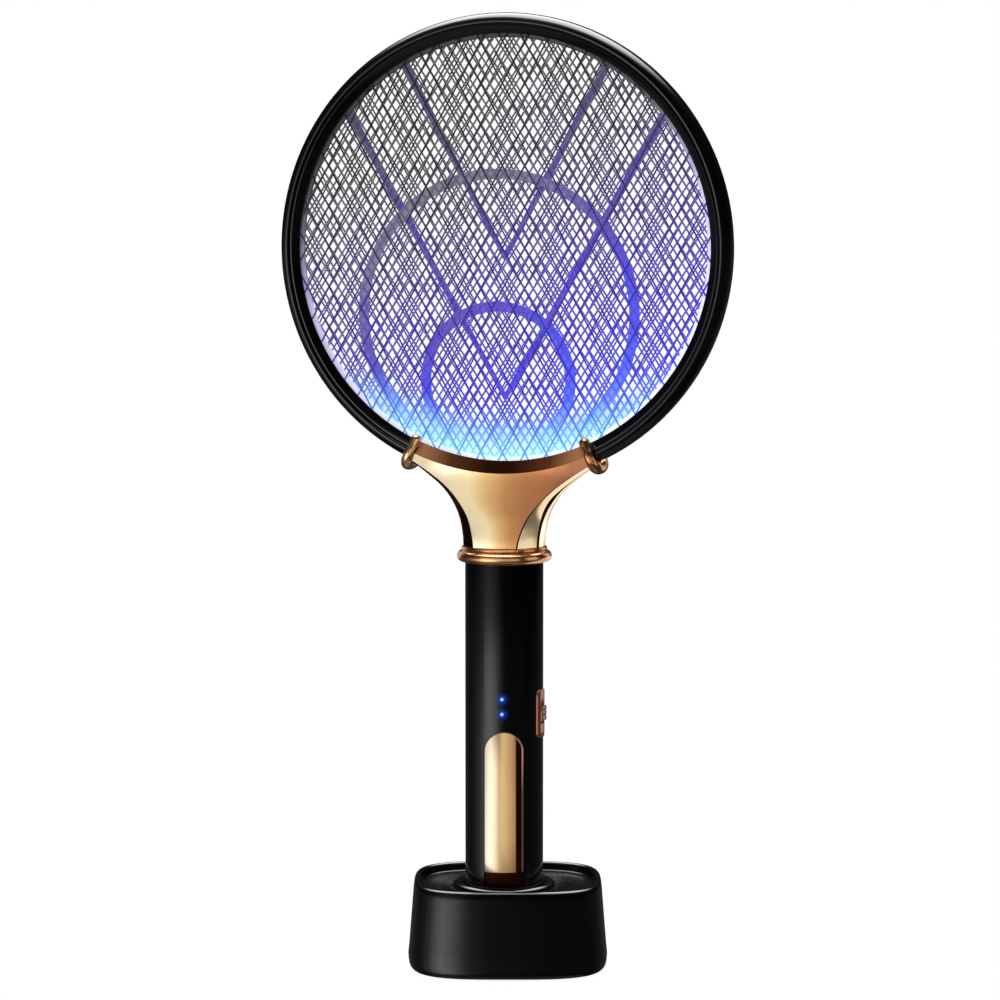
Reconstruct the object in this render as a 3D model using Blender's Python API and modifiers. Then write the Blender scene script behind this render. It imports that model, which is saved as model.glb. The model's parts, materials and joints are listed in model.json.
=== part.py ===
"""Electric fly swatter standing in its charging dock.

The row frame has its origin under the middle of the dock, on the surface it stands on.
+Z is up, the racket's front faces -Y and +X is to its right.  Sizes are in millimetres
here and are turned into metres by the helpers.
"""
import math

import bmesh
import bpy
from mathutils import Matrix, Vector

MM = 0.001
GAP = 0.3

# Racket head.
AXIS_Y = -6.0                 # the handle and the head stand in front of the dock's middle
HOOP_Z = 337.9                # height of the hoop's centre
HOOP_R = 108.5                # outer radius
MESH_R = 98.9                 # radius of the open mesh
RIM_R = 102.6                 # outer radius of the three meshes and the spacer
HOOP_STEPS = 56
SCREW_CIRCLE_R = 104.6
HOOP_SCREW_ANGLES = (30, 90, 150, 210, 270, 330)
BOSS_TURN = 5                 # degrees about its own axis; keeps a boss's edges off the ring's
NOTCH_TURN = 7                # the same for the lead notch
DIAMOND = (26.0, 47.5)        # one opening of the simplified meshes, width and height
WIRE_HALF = 1.1
RIB_WIDTH = 5.0

# Neck.
NECK_BOTTOM_Z = 199.5
NECK_SPIGOT_Z = 180.0
NECK_WEDGE_DEG = 23.1         # the gold cap covers the hoop this far each side of the bottom
COLLAR_DEG = 24.5
COLLAR_WIRE_R = 1.9
CAP_HALF_DEPTH = 9.3
WALL = 1.8

# Handle.
HANDLE_R = 18.3
HANDLE_BORE_R = 16.3
HANDLE_TOP_Z = 191.7
HANDLE_BOTTOM_Z = 18.9
END_CAP_Z = 16.0
TRIM_DEG = 15.5               # the trigger sits a little towards the thumb side
LAMP_DEG = 12.5
PLATE_HALF_WIDTH = 9.0
PLATE_TOP_Z = 113.5
PLATE_BOTTOM_Z = 41.5
PLATE_R = 19.0
SWITCH_DEG = 86.0
SWITCH_Z = 121.0
SWITCH_TRAVEL = 2.5
BEZEL_SIZE = (9.4, 22.6)
LAMP_Z = (122.2, 129.2)

# Dock.
DOCK_A = 47.0                 # half width at the foot
DOCK_B = 42.0                 # half depth at the foot
DOCK_POWER = 3.4              # superellipse power of the footprint
DOCK_STEPS = 40
SOCKET_R = 18.7
RIM_TOP_Z = 41.0
FLOOR_Z = 37.0
CONTACT_X = 6.0
PIN_TOP_Z = 15.7
INLET_Z = 8.6                 # height of the charging inlet's middle
DOCK_TURN = math.radians(16)  # the racket stands turned in its round socket
DOCK_SCREWS = ((-33.0, 8.0), (33.0, 8.0))
FEET = ((-27.0, -20.0), (27.0, -20.0), (-27.0, 20.0), (27.0, 20.0))

BLACK = ("gloss_black", (0.012, 0.012, 0.013, 1.0), 0.16, 0.0)
MATT = ("black_plastic", (0.03, 0.03, 0.032, 1.0), 0.5, 0.0)
GOLD = ("rose_gold", (0.83, 0.52, 0.26, 1.0), 0.14, 1.0)
COPPER = ("copper_gold", (0.66, 0.31, 0.14, 1.0), 0.16, 1.0)
WIRE = ("mesh_wire", (0.3, 0.29, 0.42, 1.0), 0.3, 1.0)
RIB = ("rib_plastic", (0.2, 0.14, 0.75, 1.0), 0.4, 0.0)
RUBBER = ("rubber", (0.02, 0.02, 0.02, 1.0), 0.8, 0.0)
BOARD = ("circuit_board", (0.02, 0.22, 0.1, 1.0), 0.5, 0.0)
STEEL = ("steel", (0.55, 0.55, 0.56, 1.0), 0.3, 1.0)
BRASS = ("brass", (0.8, 0.58, 0.25, 1.0), 0.3, 1.0)
LAMP = ("lamp_lens", (0.1, 0.3, 1.0, 1.0), 0.2, 0.0)
CELL = ("battery_wrap", (0.1, 0.25, 0.5, 1.0), 0.4, 0.0)
LEAD = ("lead_red", (0.5, 0.03, 0.03, 1.0), 0.5, 0.0)


FACING = Matrix.Rotation(math.pi / 2, 4, "X")     # stands a flat outline up, facing -Y


# ---------------------------------------------------------------- helpers

def clear_scene():
    for item in list(bpy.data.objects):
        bpy.data.objects.remove(item, do_unlink=True)


def collection(name):
    made = bpy.data.collections.new(name)
    bpy.context.scene.collection.children.link(made)
    return made


def material(spec):
    name, colour, roughness, metallic = spec
    found = bpy.data.materials.get(name)
    if found:
        return found
    made = bpy.data.materials.new(name)
    made.use_nodes = True
    shader = made.node_tree.nodes["Principled BSDF"]
    shader.inputs["Base Color"].default_value = colour
    shader.inputs["Roughness"].default_value = roughness
    shader.inputs["Metallic"].default_value = metallic
    made.diffuse_color = colour
    return made


def vec(x, y, z):
    return Vector((x * MM, y * MM, z * MM))


def add(name, mesh, look=None, matrix=None, smooth=35):
    """Link a mesh as a part, or as a hidden cutter when it has no look."""
    made = bpy.data.objects.new(name, mesh)
    if matrix:
        made.matrix_world = matrix
    if look is None:
        CUTTERS.objects.link(made)
        made.hide_render = True
        made.display_type = "WIRE"
    else:
        PARTS.objects.link(made)
        mesh.materials.append(material(look))
        mesh.shade_smooth()
        mesh.set_sharp_from_angle(angle=math.radians(smooth))
    return made


def hoop_matrix(turn_deg=0.0):
    """Local Z points to the front along -Y, local -Y down; turned about the hoop's axis."""
    turn = Matrix.Rotation(math.radians(turn_deg), 4, "Y")
    return Matrix.Translation(vec(0, AXIS_Y, HOOP_Z)) @ turn @ FACING


def side_matrix(angle_deg, z=0.0):
    """A frame on the handle's axis whose -Y points out at an angle from the front."""
    return Matrix.Translation(vec(0, AXIS_Y, z)) @ Matrix.Rotation(math.radians(angle_deg), 4, "Z")


def evaluated_mesh(obj):
    bpy.context.view_layer.update()
    graph = bpy.context.evaluated_depsgraph_get()
    mesh = bpy.data.meshes.new_from_object(obj.evaluated_get(graph))
    bm = bmesh.new()
    bm.from_mesh(mesh)
    bmesh.ops.remove_doubles(bm, verts=bm.verts, dist=1e-6)
    bmesh.ops.recalc_face_normals(bm, faces=bm.faces)
    bm.to_mesh(mesh)
    bm.free()
    return mesh


def from_curve(name, curve, look, matrix, smooth=35):
    """Turn a curve into a welded mesh object."""
    curve_object = bpy.data.objects.new(name + "_curve", curve)
    CUTTERS.objects.link(curve_object)
    mesh = evaluated_mesh(curve_object)
    mesh.materials.clear()
    bpy.data.objects.remove(curve_object, do_unlink=True)
    return add(name, mesh, look, matrix, smooth)


def outline_solid(name, loops, low, high, look=None, matrix=None):
    """A flat outline in local X and Y with its holes, from local Z low to high."""
    curve = bpy.data.curves.new(name, "CURVE")
    curve.dimensions = "2D"
    curve.fill_mode = "BOTH"
    curve.extrude = (high - low) / 2 * MM
    for loop in loops:
        spline = curve.splines.new("POLY")
        spline.points.add(len(loop) - 1)
        for point, (x, y) in zip(spline.points, loop):
            point.co = (x * MM, y * MM, 0, 1)
        spline.use_cyclic_u = True
    place = (matrix or Matrix()) @ Matrix.Translation(vec(0, 0, (low + high) / 2))
    return from_curve(name, curve, look, place)


def wire(name, points, radius, look, matrix=None, closed=False):
    """A round wire through the points, with filled ends."""
    curve = bpy.data.curves.new(name, "CURVE")
    curve.dimensions = "3D"
    curve.bevel_depth = radius * MM
    curve.bevel_resolution = 2
    curve.use_fill_caps = not closed
    spline = curve.splines.new("POLY")
    spline.points.add(len(points) - 1)
    for point, place in zip(spline.points, points):
        point.co = (*(c * MM for c in place), 1)
    spline.use_cyclic_u = closed
    return from_curve(name, curve, look, matrix, 60)


def turned(name, profile, steps, look=None, matrix=None):
    """Turn a closed profile of (radius, height) points about local Z."""
    area = sum(a[0] * b[1] - b[0] * a[1] for a, b in zip(profile, profile[1:] + profile[:1]))
    points = profile[::-1] if area > 0 else profile
    mesh = bpy.data.meshes.new(name)
    count = len(points)
    on_axis = [i for i in range(count) if points[i][0] == 0 and points[(i + 1) % count][0] == 0]
    edges = [(i, (i + 1) % count) for i in range(count) if i not in on_axis]
    mesh.from_pydata([(r * MM, 0, z * MM) for r, z in points], edges, [])
    made = add(name, mesh, look, matrix)
    screw = made.modifiers.new("turn", "SCREW")
    screw.steps = screw.render_steps = steps
    screw.use_merge_vertices = True
    screw.merge_threshold = 0.00001
    screw.use_smooth_shade = look is not None
    return made


def box(name, low, high, look=None, matrix=None, bevel=0.0):
    bm = bmesh.new()
    bmesh.ops.create_cube(bm, size=1.0)
    size = [(b - a) * MM for a, b in zip(low, high)]
    middle = [(a + b) / 2 * MM for a, b in zip(low, high)]
    bmesh.ops.scale(bm, vec=size, verts=bm.verts)
    bmesh.ops.translate(bm, vec=middle, verts=bm.verts)
    mesh = bpy.data.meshes.new(name)
    bm.to_mesh(mesh)
    bm.free()
    made = add(name, mesh, look, matrix)
    if bevel:
        edge = made.modifiers.new("edge", "BEVEL")
        edge.width = bevel * MM
        edge.segments = 2
    return made


def rod(name, radius, low, high, look=None, matrix=None, steps=20):
    return turned(name, [(0, high), (radius, high), (radius, low), (0, low)], steps, look, matrix)


def boolean(obj, other, operation="DIFFERENCE"):
    """Apply one Boolean; the other object stays among the cutters."""
    step = obj.modifiers.new(operation.lower(), "BOOLEAN")
    step.operation = operation
    step.solver = "EXACT"
    step.object = other
    return obj


def sector(r_in, r_out, start_deg, end_deg, steps):
    """An annular sector as one loop; angles run from local +X."""
    angles = [math.radians(start_deg + (end_deg - start_deg) * i / steps) for i in range(steps + 1)]
    outer = [(r_out * math.cos(a), r_out * math.sin(a)) for a in angles]
    inner = [(r_in * math.cos(a), r_in * math.sin(a)) for a in reversed(angles)]
    return outer + inner


def circle(radius, steps, centre=(0.0, 0.0)):
    return [(centre[0] + radius * math.cos(2 * math.pi * i / steps),
             centre[1] + radius * math.sin(2 * math.pi * i / steps)) for i in range(steps)]


def stadium(half_width, low, high, square_foot=False, steps=8):
    """A slot outline with a round top and, unless its foot is square, a round foot."""
    top = [(half_width * math.cos(math.pi * i / steps),
            high - half_width + half_width * math.sin(math.pi * i / steps)) for i in range(steps + 1)]
    if square_foot:
        return top + [(-half_width, low), (half_width, low)]
    foot = [(-x, low + high - y) for x, y in top]
    return top + foot


def rounded_box(half_width, half_height, radius, steps=4):
    points = []
    for quarter, (sx, sy) in enumerate(((1, 1), (-1, 1), (-1, -1), (1, -1))):
        for i in range(steps + 1):
            angle = math.pi / 2 * (quarter + i / steps)
            points.append((sx * (half_width - radius) + radius * math.cos(angle),
                           sy * (half_height - radius) + radius * math.sin(angle)))
    return points


def curved_plate(name, outline, r_in, r_out, z_mid, angle_deg, look=None):
    """A plate that follows the handle's cylinder, cut to an outline of (across, height)."""
    frame = side_matrix(angle_deg, z_mid)
    plate = outline_solid(name, [outline], 8.0, 24.0, look, frame @ FACING)
    heights = [z for _, z in outline]
    low, high = min(heights) - 2, max(heights) + 2
    ring = turned(name + "_ring", [(r_in, high), (r_out, high), (r_out, low), (r_in, low)], 72, None, frame)
    return boolean(plate, ring, "INTERSECT")


def loft(name, rings, look=None, matrix=None, closed=False):
    """Skin rings of points; the ends are capped, or the last ring joins the first."""
    bm = bmesh.new()
    made = [[bm.verts.new(vec(*p)) for p in ring] for ring in rings]
    count = len(made[0])
    pairs = list(zip(made, made[1:] + made[:1])) if closed else list(zip(made, made[1:]))
    for lower, upper in pairs:
        for i in range(count):
            j = (i + 1) % count
            bm.faces.new((lower[i], lower[j], upper[j], upper[i]))
    if not closed:
        bm.faces.new(list(reversed(made[0])))
        bm.faces.new(made[-1])
    bmesh.ops.recalc_face_normals(bm, faces=bm.faces)
    mesh = bpy.data.meshes.new(name)
    bm.to_mesh(mesh)
    bm.free()
    return add(name, mesh, look, matrix)


# ---------------------------------------------------------------- racket head

def hoop_profile():
    """Section of one hoop shell as (radius, depth from the parting plane)."""
    skin = [(HOOP_R, 0.15), (HOOP_R, 2.2), (HOOP_R - 0.6, 4.6), (HOOP_R - 1.9, 6.4),
            (HOOP_R - 3.7, 7.4), (HOOP_R - 5.4, 6.7), (MESH_R + 0.5, 4.6), (MESH_R, 4.2)]
    inside = [(MESH_R, 3.75), (MESH_R + 4.0, 3.75), (MESH_R + 4.4, 5.0), (HOOP_R - 3.2, 5.2),
              (HOOP_R - 1.6, 2.4), (HOOP_R - 1.6, 0.15)]
    return skin + inside


def hoop_shell(name, front):
    side = 0 if front else 180
    shell = turned(name, hoop_profile(), HOOP_STEPS, BLACK, hoop_matrix() @ Matrix.Rotation(
        math.radians(side), 4, "X"))
    for number, angle in enumerate(HOOP_SCREW_ANGLES):
        place = hoop_matrix(angle) @ Matrix.Rotation(math.radians(side), 4, "X")
        at = Matrix.Translation(vec(0, (1 if front else -1) * SCREW_CIRCLE_R, 0))
        at = at @ Matrix.Rotation(math.radians(BOSS_TURN), 4, "Z")
        boss = rod(f"{name}_boss_{number}", 1.65, 0.15, 5.9, None, place @ at, 12)
        boolean(shell, boss, "UNION")
        drilled = [(0, 4.6), (0.95, 4.6), (0.95, -1.0), (0, -1.0)]
        if not front:
            drilled = [(0, 9.0), (2.0, 9.0), (2.0, 6.3), (0.95, 6.3), (0.95, -1.0), (0, -1.0)]
        boolean(shell, turned(f"{name}_hole_{number}", drilled, 12, None, place @ at))
    notch = rod(f"{name}_notch", 3.6, -4, 4, None,
                Matrix.Translation(vec(0, AXIS_Y, HOOP_Z - HOOP_R + 1))
                @ Matrix.Rotation(math.radians(NOTCH_TURN), 4, "Z"), 16)
    return boolean(shell, notch)


def hoop_screws():
    profile = [(0, 7.3), (1.7, 7.3), (1.7, 6.6), (0.65, 6.6), (0.65, -3.8), (0, -4.2)]
    for number, angle in enumerate(HOOP_SCREW_ANGLES):
        place = hoop_matrix(angle) @ Matrix.Rotation(math.pi, 4, "X")
        turned(f"hoop_screw_{number + 1}", profile, 14, STEEL,
               place @ Matrix.Translation(vec(0, -SCREW_CIRCLE_R, 0)))


def diamonds(offset):
    """Openings of a diamond lattice that fit inside the open mesh."""
    half_w, half_h = DIAMOND[0] / 2, DIAMOND[1] / 2
    scale = 1 - WIRE_HALF * math.hypot(1 / half_w, 1 / half_h)
    reach = int(MESH_R / half_w) + 2
    loops = []
    for i in range(-reach, reach + 1):
        for j in range(-reach, reach + 1):
            if (i + j) % 2:
                continue
            x, y = (i + offset) * half_w, j * half_h
            loop = [(x + half_w * scale, y), (x, y + half_h * scale),
                    (x - half_w * scale, y), (x, y - half_h * scale)]
            if max(math.hypot(*p) for p in loop) < MESH_R - 1:
                loops.append(loop)
    return loops


def mesh_disc(name, low, high, offset):
    loops = [circle(RIM_R, HOOP_STEPS)] + diamonds(offset)
    return outline_solid(name, loops, low, high, WIRE, hoop_matrix())


def band(start, end, width):
    """A straight rib between two points as a loop."""
    along = Vector(end) - Vector(start)
    side = Vector((-along.y, along.x)).normalized() * width / 2
    return [tuple(Vector(p) + s * side) for p, s in ((start, -1), (end, -1), (end, 1), (start, 1))]


def rib_frame():
    """Rear spacer ring with the moulded ribs that hold the meshes apart."""
    place = hoop_matrix()
    frame = outline_solid("support_rib_frame", [circle(RIM_R, HOOP_STEPS), circle(MESH_R + 0.6, HOOP_STEPS)],
                          -2.6, -0.75, RIB, place)
    rings = {"large": (65.5, -31.0), "small": (35.0, -62.0)}
    for label, (radius, height) in rings.items():
        loops = [circle(radius + RIB_WIDTH / 2, 36, (0, height)),
                 circle(radius - RIB_WIDTH / 2, 36, (0, height))]
        boolean(frame, outline_solid(f"rib_ring_{label}", loops, -2.2, -1.0, None, place), "UNION")
    vees = {"upper": ((50.0, 87.0), (0.0, -3.0)), "lower": ((77.0, 64.5), (0.0, -68.0))}
    for label, (top, apex) in vees.items():
        for side in (-1, 1):
            arm = band((side * top[0], top[1]), (-side * 0.6, apex[1]), RIB_WIDTH * 0.8)
            depth = (-2.1, -1.1) if side < 0 else (-2.05, -1.15)
            boolean(frame, outline_solid(f"rib_{label}_{side}", [arm], *depth, None, place), "UNION")
    foot = band((0, -102.0), (0, -94.0), 12.0)
    return boolean(frame, outline_solid("rib_foot", [foot], -2.3, -0.95, None, place), "UNION")


def collar(name, side):
    """Gold C-shaped bead round the hoop, open where the meshes pass."""
    half = [(99.5, 7.7), (101.4, 9.2), (103.8, 10.1), (106.2, 9.9), (108.4, 8.6),
            (110.0, 6.6), (110.9, 4.2), (111.2, 1.6)]
    path = half + [(r, -y) for r, y in reversed(half)]
    turn = Matrix.Rotation(-side * math.radians(COLLAR_DEG), 4, "Y")
    place = Matrix.Translation(vec(0, AXIS_Y, HOOP_Z)) @ turn
    return wire(name, [(0, y, -r) for r, y in path], COLLAR_WIRE_R, COPPER, place)


def uv_lamps():
    for side, label in ((-1, "left"), (1, "right")):
        middle = -90 + side * 10
        outline_solid(f"uv_lamp_board_{label}", [sector(105.3, 106.1, middle - 6, middle + 6, 10)],
                      -2.5, 2.5, BOARD, hoop_matrix())
        place = hoop_matrix() @ Matrix.Rotation(math.radians(side * 10), 4, "Z")
        box(f"uv_lamp_{label}", (-1.75, -104.9, -1.5), (1.75, -103.3, 1.5), LAMP, place, 0.2)


def leads():
    """Fixed leads from the main board, up the neck and through the hoop's notch."""
    top = HOOP_Z - RIM_R - 0.6
    for label, x, y_end, y_start in (("high_voltage_lead", 2.4, 0, -5.0), ("ground_lead", -2.4, 2.0, -5.0)):
        points = [(x, AXIS_Y + y_start, 171.0), (x, AXIS_Y + y_start, 180.0), (x, AXIS_Y - 2.5, 192.0),
                  (x, AXIS_Y, 204.0), (x, AXIS_Y, 226.0), (x, AXIS_Y + y_end, 232.0),
                  (x, AXIS_Y + y_end, top)]
        wire(label, points, 0.7, LEAD)


# ---------------------------------------------------------------- neck

# height, half width, half width of the front facet, its depth, outward bulge of the flank
NECK_SECTIONS = (
    (NECK_BOTTOM_Z, 18.9, 10.2, 16.6, 0.3),
    (205.0, 19.3, 11.4, 16.0, 0.3),
    (212.5, 21.0, 14.2, 14.3, 0.3),
    (219.0, 24.0, 18.7, 12.5, 0.3),
    (225.5, 28.8, 24.8, 10.9, 0.3),
    (231.5, 35.8, 32.4, 9.8, 0.2),
    (238.5, 46.0, 43.2, CAP_HALF_DEPTH, 0.1),
    (250.0, 66.0, 63.0, CAP_HALF_DEPTH, 0.1),
)


def neck_ring_points(z, half_width, facet, depth, bulge, inset):
    """One octagonal neck section, from the right flank round the front."""
    strip = depth * 0.32
    half_width, facet, depth = half_width - inset, facet - inset * 0.6, depth - inset
    quarter = [(half_width, 0.0), (half_width - 0.4, strip),
               ((half_width + facet) / 2 + bulge, (strip + depth) / 2 + bulge), (facet, depth),
               (facet / 2, depth + 0.4), (0.0, depth + 0.5)]
    front = quarter + [(-x, y) for x, y in reversed(quarter[:-1])]
    rear = [(x, -y) for x, y in reversed(front[1:-1])]
    return [(x, AXIS_Y - y, z) for x, y in front + rear]


def neck_body(name, look=None):
    """The whole neck before it is parted: flared loft, hollow, cut round the hoop."""
    body = loft(name, [neck_ring_points(*s, 0.0) for s in NECK_SECTIONS], look)
    axis = Matrix.Translation(vec(0, AXIS_Y, 0))
    boolean(body, rod(name + "_spigot", 15.5, NECK_SPIGOT_Z, NECK_BOTTOM_Z + 2, None, axis, 32), "UNION")
    hollow = [neck_ring_points(z, w, f, d, b, WALL) for z, w, f, d, b in NECK_SECTIONS[:-2]]
    hollow.insert(0, [(x, y, NECK_BOTTOM_Z + WALL) for x, y, z in hollow.pop(0)])
    boolean(body, loft(name + "_hollow", hollow))
    boolean(body, rod(name + "_bore", 13.6, NECK_SPIGOT_Z - 1, NECK_BOTTOM_Z + 4, None, axis, 32))
    opening = [(0, 25), (104.6, 25), (MESH_R + 5.3, CAP_HALF_DEPTH), (MESH_R - 0.3, 5.3),
               (MESH_R - 0.3, -5.3), (MESH_R + 5.3, -CAP_HALF_DEPTH), (104.6, -25), (0, -25)]
    boolean(body, turned(name + "_opening", opening, 90, None, hoop_matrix()))
    half = [(98.4, 4.4), (99.2, 4.85), (102.3, 7.0), (103.4, 7.55), (104.9, 7.75),
            (106.9, 6.7), (108.3, 4.8), (108.85, 2.2)]
    groove = half + [(r, -y) for r, y in reversed(half)]
    boolean(body, turned(name + "_groove", groove, 90, None, hoop_matrix()))
    reach = 170.0
    spread = math.tan(math.radians(NECK_WEDGE_DEG)) * reach
    wedge = outline_solid(name + "_wedge", [[(0, 0), (-spread, -reach), (spread, -reach)]],
                          -30, 30, None, hoop_matrix())
    return boolean(body, wedge, "INTERSECT")


def neck_shells():
    for name, low, high in (("neck_front_shell", -30.0, -0.15), ("neck_rear_shell", 0.15, 30.0)):
        shell = neck_body(name, GOLD)
        half = box(name + "_half", (-80, AXIS_Y + low, 170), (80, AXIS_Y + high, 260))
        boolean(shell, half, "INTERSECT")


def neck_ring():
    bead_r, bead_z, bead = 19.6, 194.7, 2.6
    arc = [(bead_r + bead * math.cos(math.radians(a)), bead_z + bead * math.sin(math.radians(a)))
           for a in range(60, -95, -22)]
    profile = [(15.9, 199.2), (19.4, 199.2), (20.0, 198.8), (20.0, 197.9), (19.4, 197.4)] + arc
    profile += [(18.5, 192.3), (18.3, 192.0), (15.9, 192.0)]
    turned("neck_ring", profile, 40, COPPER, Matrix.Translation(vec(0, AXIS_Y, 0)))


# ---------------------------------------------------------------- handle

def handle_sleeve():
    profile = [(HANDLE_BORE_R, HANDLE_TOP_Z), (HANDLE_R, HANDLE_TOP_Z),
               (HANDLE_R, HANDLE_BOTTOM_Z), (HANDLE_BORE_R, HANDLE_BOTTOM_Z)]
    sleeve = turned("handle_sleeve", profile, 56, BLACK, Matrix.Translation(vec(0, AXIS_Y, 0)))
    slot = stadium(PLATE_HALF_WIDTH + 0.35, PLATE_BOTTOM_Z - 0.35, PLATE_TOP_Z + 0.35, True)
    boolean(sleeve, outline_solid("trigger_slot", [slot], 10, 24, None, side_matrix(TRIM_DEG) @ FACING))
    for number, z in enumerate(LAMP_Z):
        place = side_matrix(LAMP_DEG, z) @ FACING
        boolean(sleeve, rod(f"lamp_hole_{number}", 1.6, 10, 24, None, place, 16))
    window = rounded_box(BEZEL_SIZE[0] / 2 + GAP, BEZEL_SIZE[1] / 2 + GAP, 3.0)
    place = side_matrix(SWITCH_DEG, SWITCH_Z) @ FACING
    boolean(sleeve, outline_solid("switch_window", [window], 10, 24, None, place))


def end_cap():
    profile = [(0, 24.0), (15.9, 24.0), (15.9, 18.6), (HANDLE_R, 18.6), (HANDLE_R, END_CAP_Z + 0.6),
               (HANDLE_R - 0.6, END_CAP_Z), (0, END_CAP_Z)]
    cap = turned("handle_end_cap", profile, 40, BLACK, Matrix.Translation(vec(0, AXIS_Y, 0)))
    for side, label in ((-1, "left"), (1, "right")):
        place = Matrix.Translation(vec(side * CONTACT_X, AXIS_Y, 0))
        boolean(cap, rod(f"contact_hole_{label}", 2.9, END_CAP_Z - 1, 26, None, place, 20))
        profile = [(0, 24.8), (1.0, 24.8), (1.0, 17.6), (2.6, 17.6), (2.6, END_CAP_Z), (0, END_CAP_Z)]
        turned(f"charge_contact_{label}", profile, 20, BRASS, place)


def trigger():
    """Press plate with a wider retaining flange behind the sleeve's wall."""
    face = stadium(PLATE_HALF_WIDTH, PLATE_BOTTOM_Z, PLATE_TOP_Z, True)
    plate = curved_plate("trigger_plate", face, 15.0, PLATE_R, 0.0, TRIM_DEG, GOLD)
    flange = stadium(PLATE_HALF_WIDTH + 1.2, PLATE_BOTTOM_Z - 1.2, PLATE_TOP_Z + 1.2, True)
    boolean(plate, curved_plate("trigger_flange", flange, 14.6, 15.9, 0.0, TRIM_DEG), "UNION")
    for label, z in (("lower", 58.0), ("upper", 98.0)):
        turns, per_turn, length = 2, 6, 2.2
        points = [(2.2 * math.cos(2 * math.pi * i / per_turn), 2.2 * math.sin(2 * math.pi * i / per_turn),
                   11.9 + length * i / (turns * per_turn)) for i in range(turns * per_turn + 1)]
        wire(f"trigger_spring_{label}", points, 0.25, STEEL, side_matrix(TRIM_DEG, z) @ FACING)


def lamps():
    profile = [(0, 18.45), (0.8, 18.35), (1.25, 18.1), (1.25, 10.2), (0, 10.2)]
    for label, z in zip(("lower", "upper"), LAMP_Z):
        turned(f"indicator_lamp_{label}", profile, 16, LAMP, side_matrix(LAMP_DEG, z) @ FACING)


def mode_switch():
    outline = rounded_box(BEZEL_SIZE[0] / 2, BEZEL_SIZE[1] / 2, 2.8)
    bezel = curved_plate("mode_switch_bezel", outline, 16.9, 19.0, SWITCH_Z, SWITCH_DEG, COPPER)
    place = side_matrix(SWITCH_DEG, SWITCH_Z)
    slot = rounded_box(2.0, 2.3 + SWITCH_TRAVEL + GAP, 1.0)
    boolean(bezel, outline_solid("switch_slot", [slot], 10, 24, None, place @ FACING))
    knob = box("mode_switch_knob", (-3.2, -20.05, -3.4), (3.2, -19.3, 3.4), COPPER, place, 0.2)
    boolean(knob, box("knob_stem", (-1.6, -19.8, -2.2), (1.6, -15.4, 2.2), None, place), "UNION")
    boolean(knob, box("knob_shoe", (-2.9, -15.6, -5.0), (2.9, -14.6, 5.0), None, place), "UNION")
    box("mode_switch_body", (-3.4, -14.3, -8.5), (3.4, -10.0, 8.5), MATT, place, 0.3)


def electronics():
    place = side_matrix(TRIM_DEG)
    box("main_circuit_board", (-10, -9.2, 107.8), (10, -8.0, 170), BOARD, place)
    tact = box("trigger_tact_switch", (-3, -12.6, 107.9), (3, -9.5, 113.9), MATT, place, 0.2)
    button = rod("tact_button", 1.6, 12.0, 13.2, None, side_matrix(TRIM_DEG, 110.9) @ FACING, 16)
    boolean(tact, button, "UNION")
    box("step_up_transformer", (-6, -7.7, 126), (6, 3.5, 140), MATT, place, 0.6)
    box("high_voltage_capacitor", (-6.5, -7.7, 147), (6.5, 0.5, 162), LEAD, place, 0.8)
    axis = Matrix.Translation(vec(0, AXIS_Y, 0))
    cell = [(0, 104.4), (2.8, 104.4), (2.8, 103.2), (8.6, 103.2), (9.1, 102.6), (9.1, 39.1),
            (8.6, 38.5), (0, 38.5)]
    turned("battery_cell", cell, 24, CELL, axis)
    tube = [(9.6, 105.0), (11.4, 105.0), (11.4, 36.0), (9.6, 36.0)]
    turned("battery_holder", tube, 32, MATT, axis)
    turned("charge_circuit_board", [(0, 27.0), (14.2, 27.0), (14.2, 25.6), (0, 25.6)], 32, BOARD, axis)


# ---------------------------------------------------------------- dock

def turned_place(x, y, z=0.0):
    """A place in the dock's own axes, as a matrix in the row frame."""
    return Matrix.Rotation(DOCK_TURN, 4, "Z") @ Matrix.Translation(vec(x, y, z))


def footprint(inset, z):
    """A superellipse ring of the dock, inset from the foot's outline."""
    points = []
    for i in range(DOCK_STEPS):
        angle = 2 * math.pi * i / DOCK_STEPS
        c, s = math.cos(angle), math.sin(angle)
        x = math.copysign(abs(c) ** (2 / DOCK_POWER), c) * (DOCK_A - inset)
        y = math.copysign(abs(s) ** (2 / DOCK_POWER), s) * (DOCK_B - inset)
        points.append((x * math.cos(DOCK_TURN) - y * math.sin(DOCK_TURN),
                       x * math.sin(DOCK_TURN) + y * math.cos(DOCK_TURN), z))
    return points


def socket_ring(radius, z):
    return [(x, y + AXIS_Y, z) for x, y in circle(radius, DOCK_STEPS)]


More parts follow.
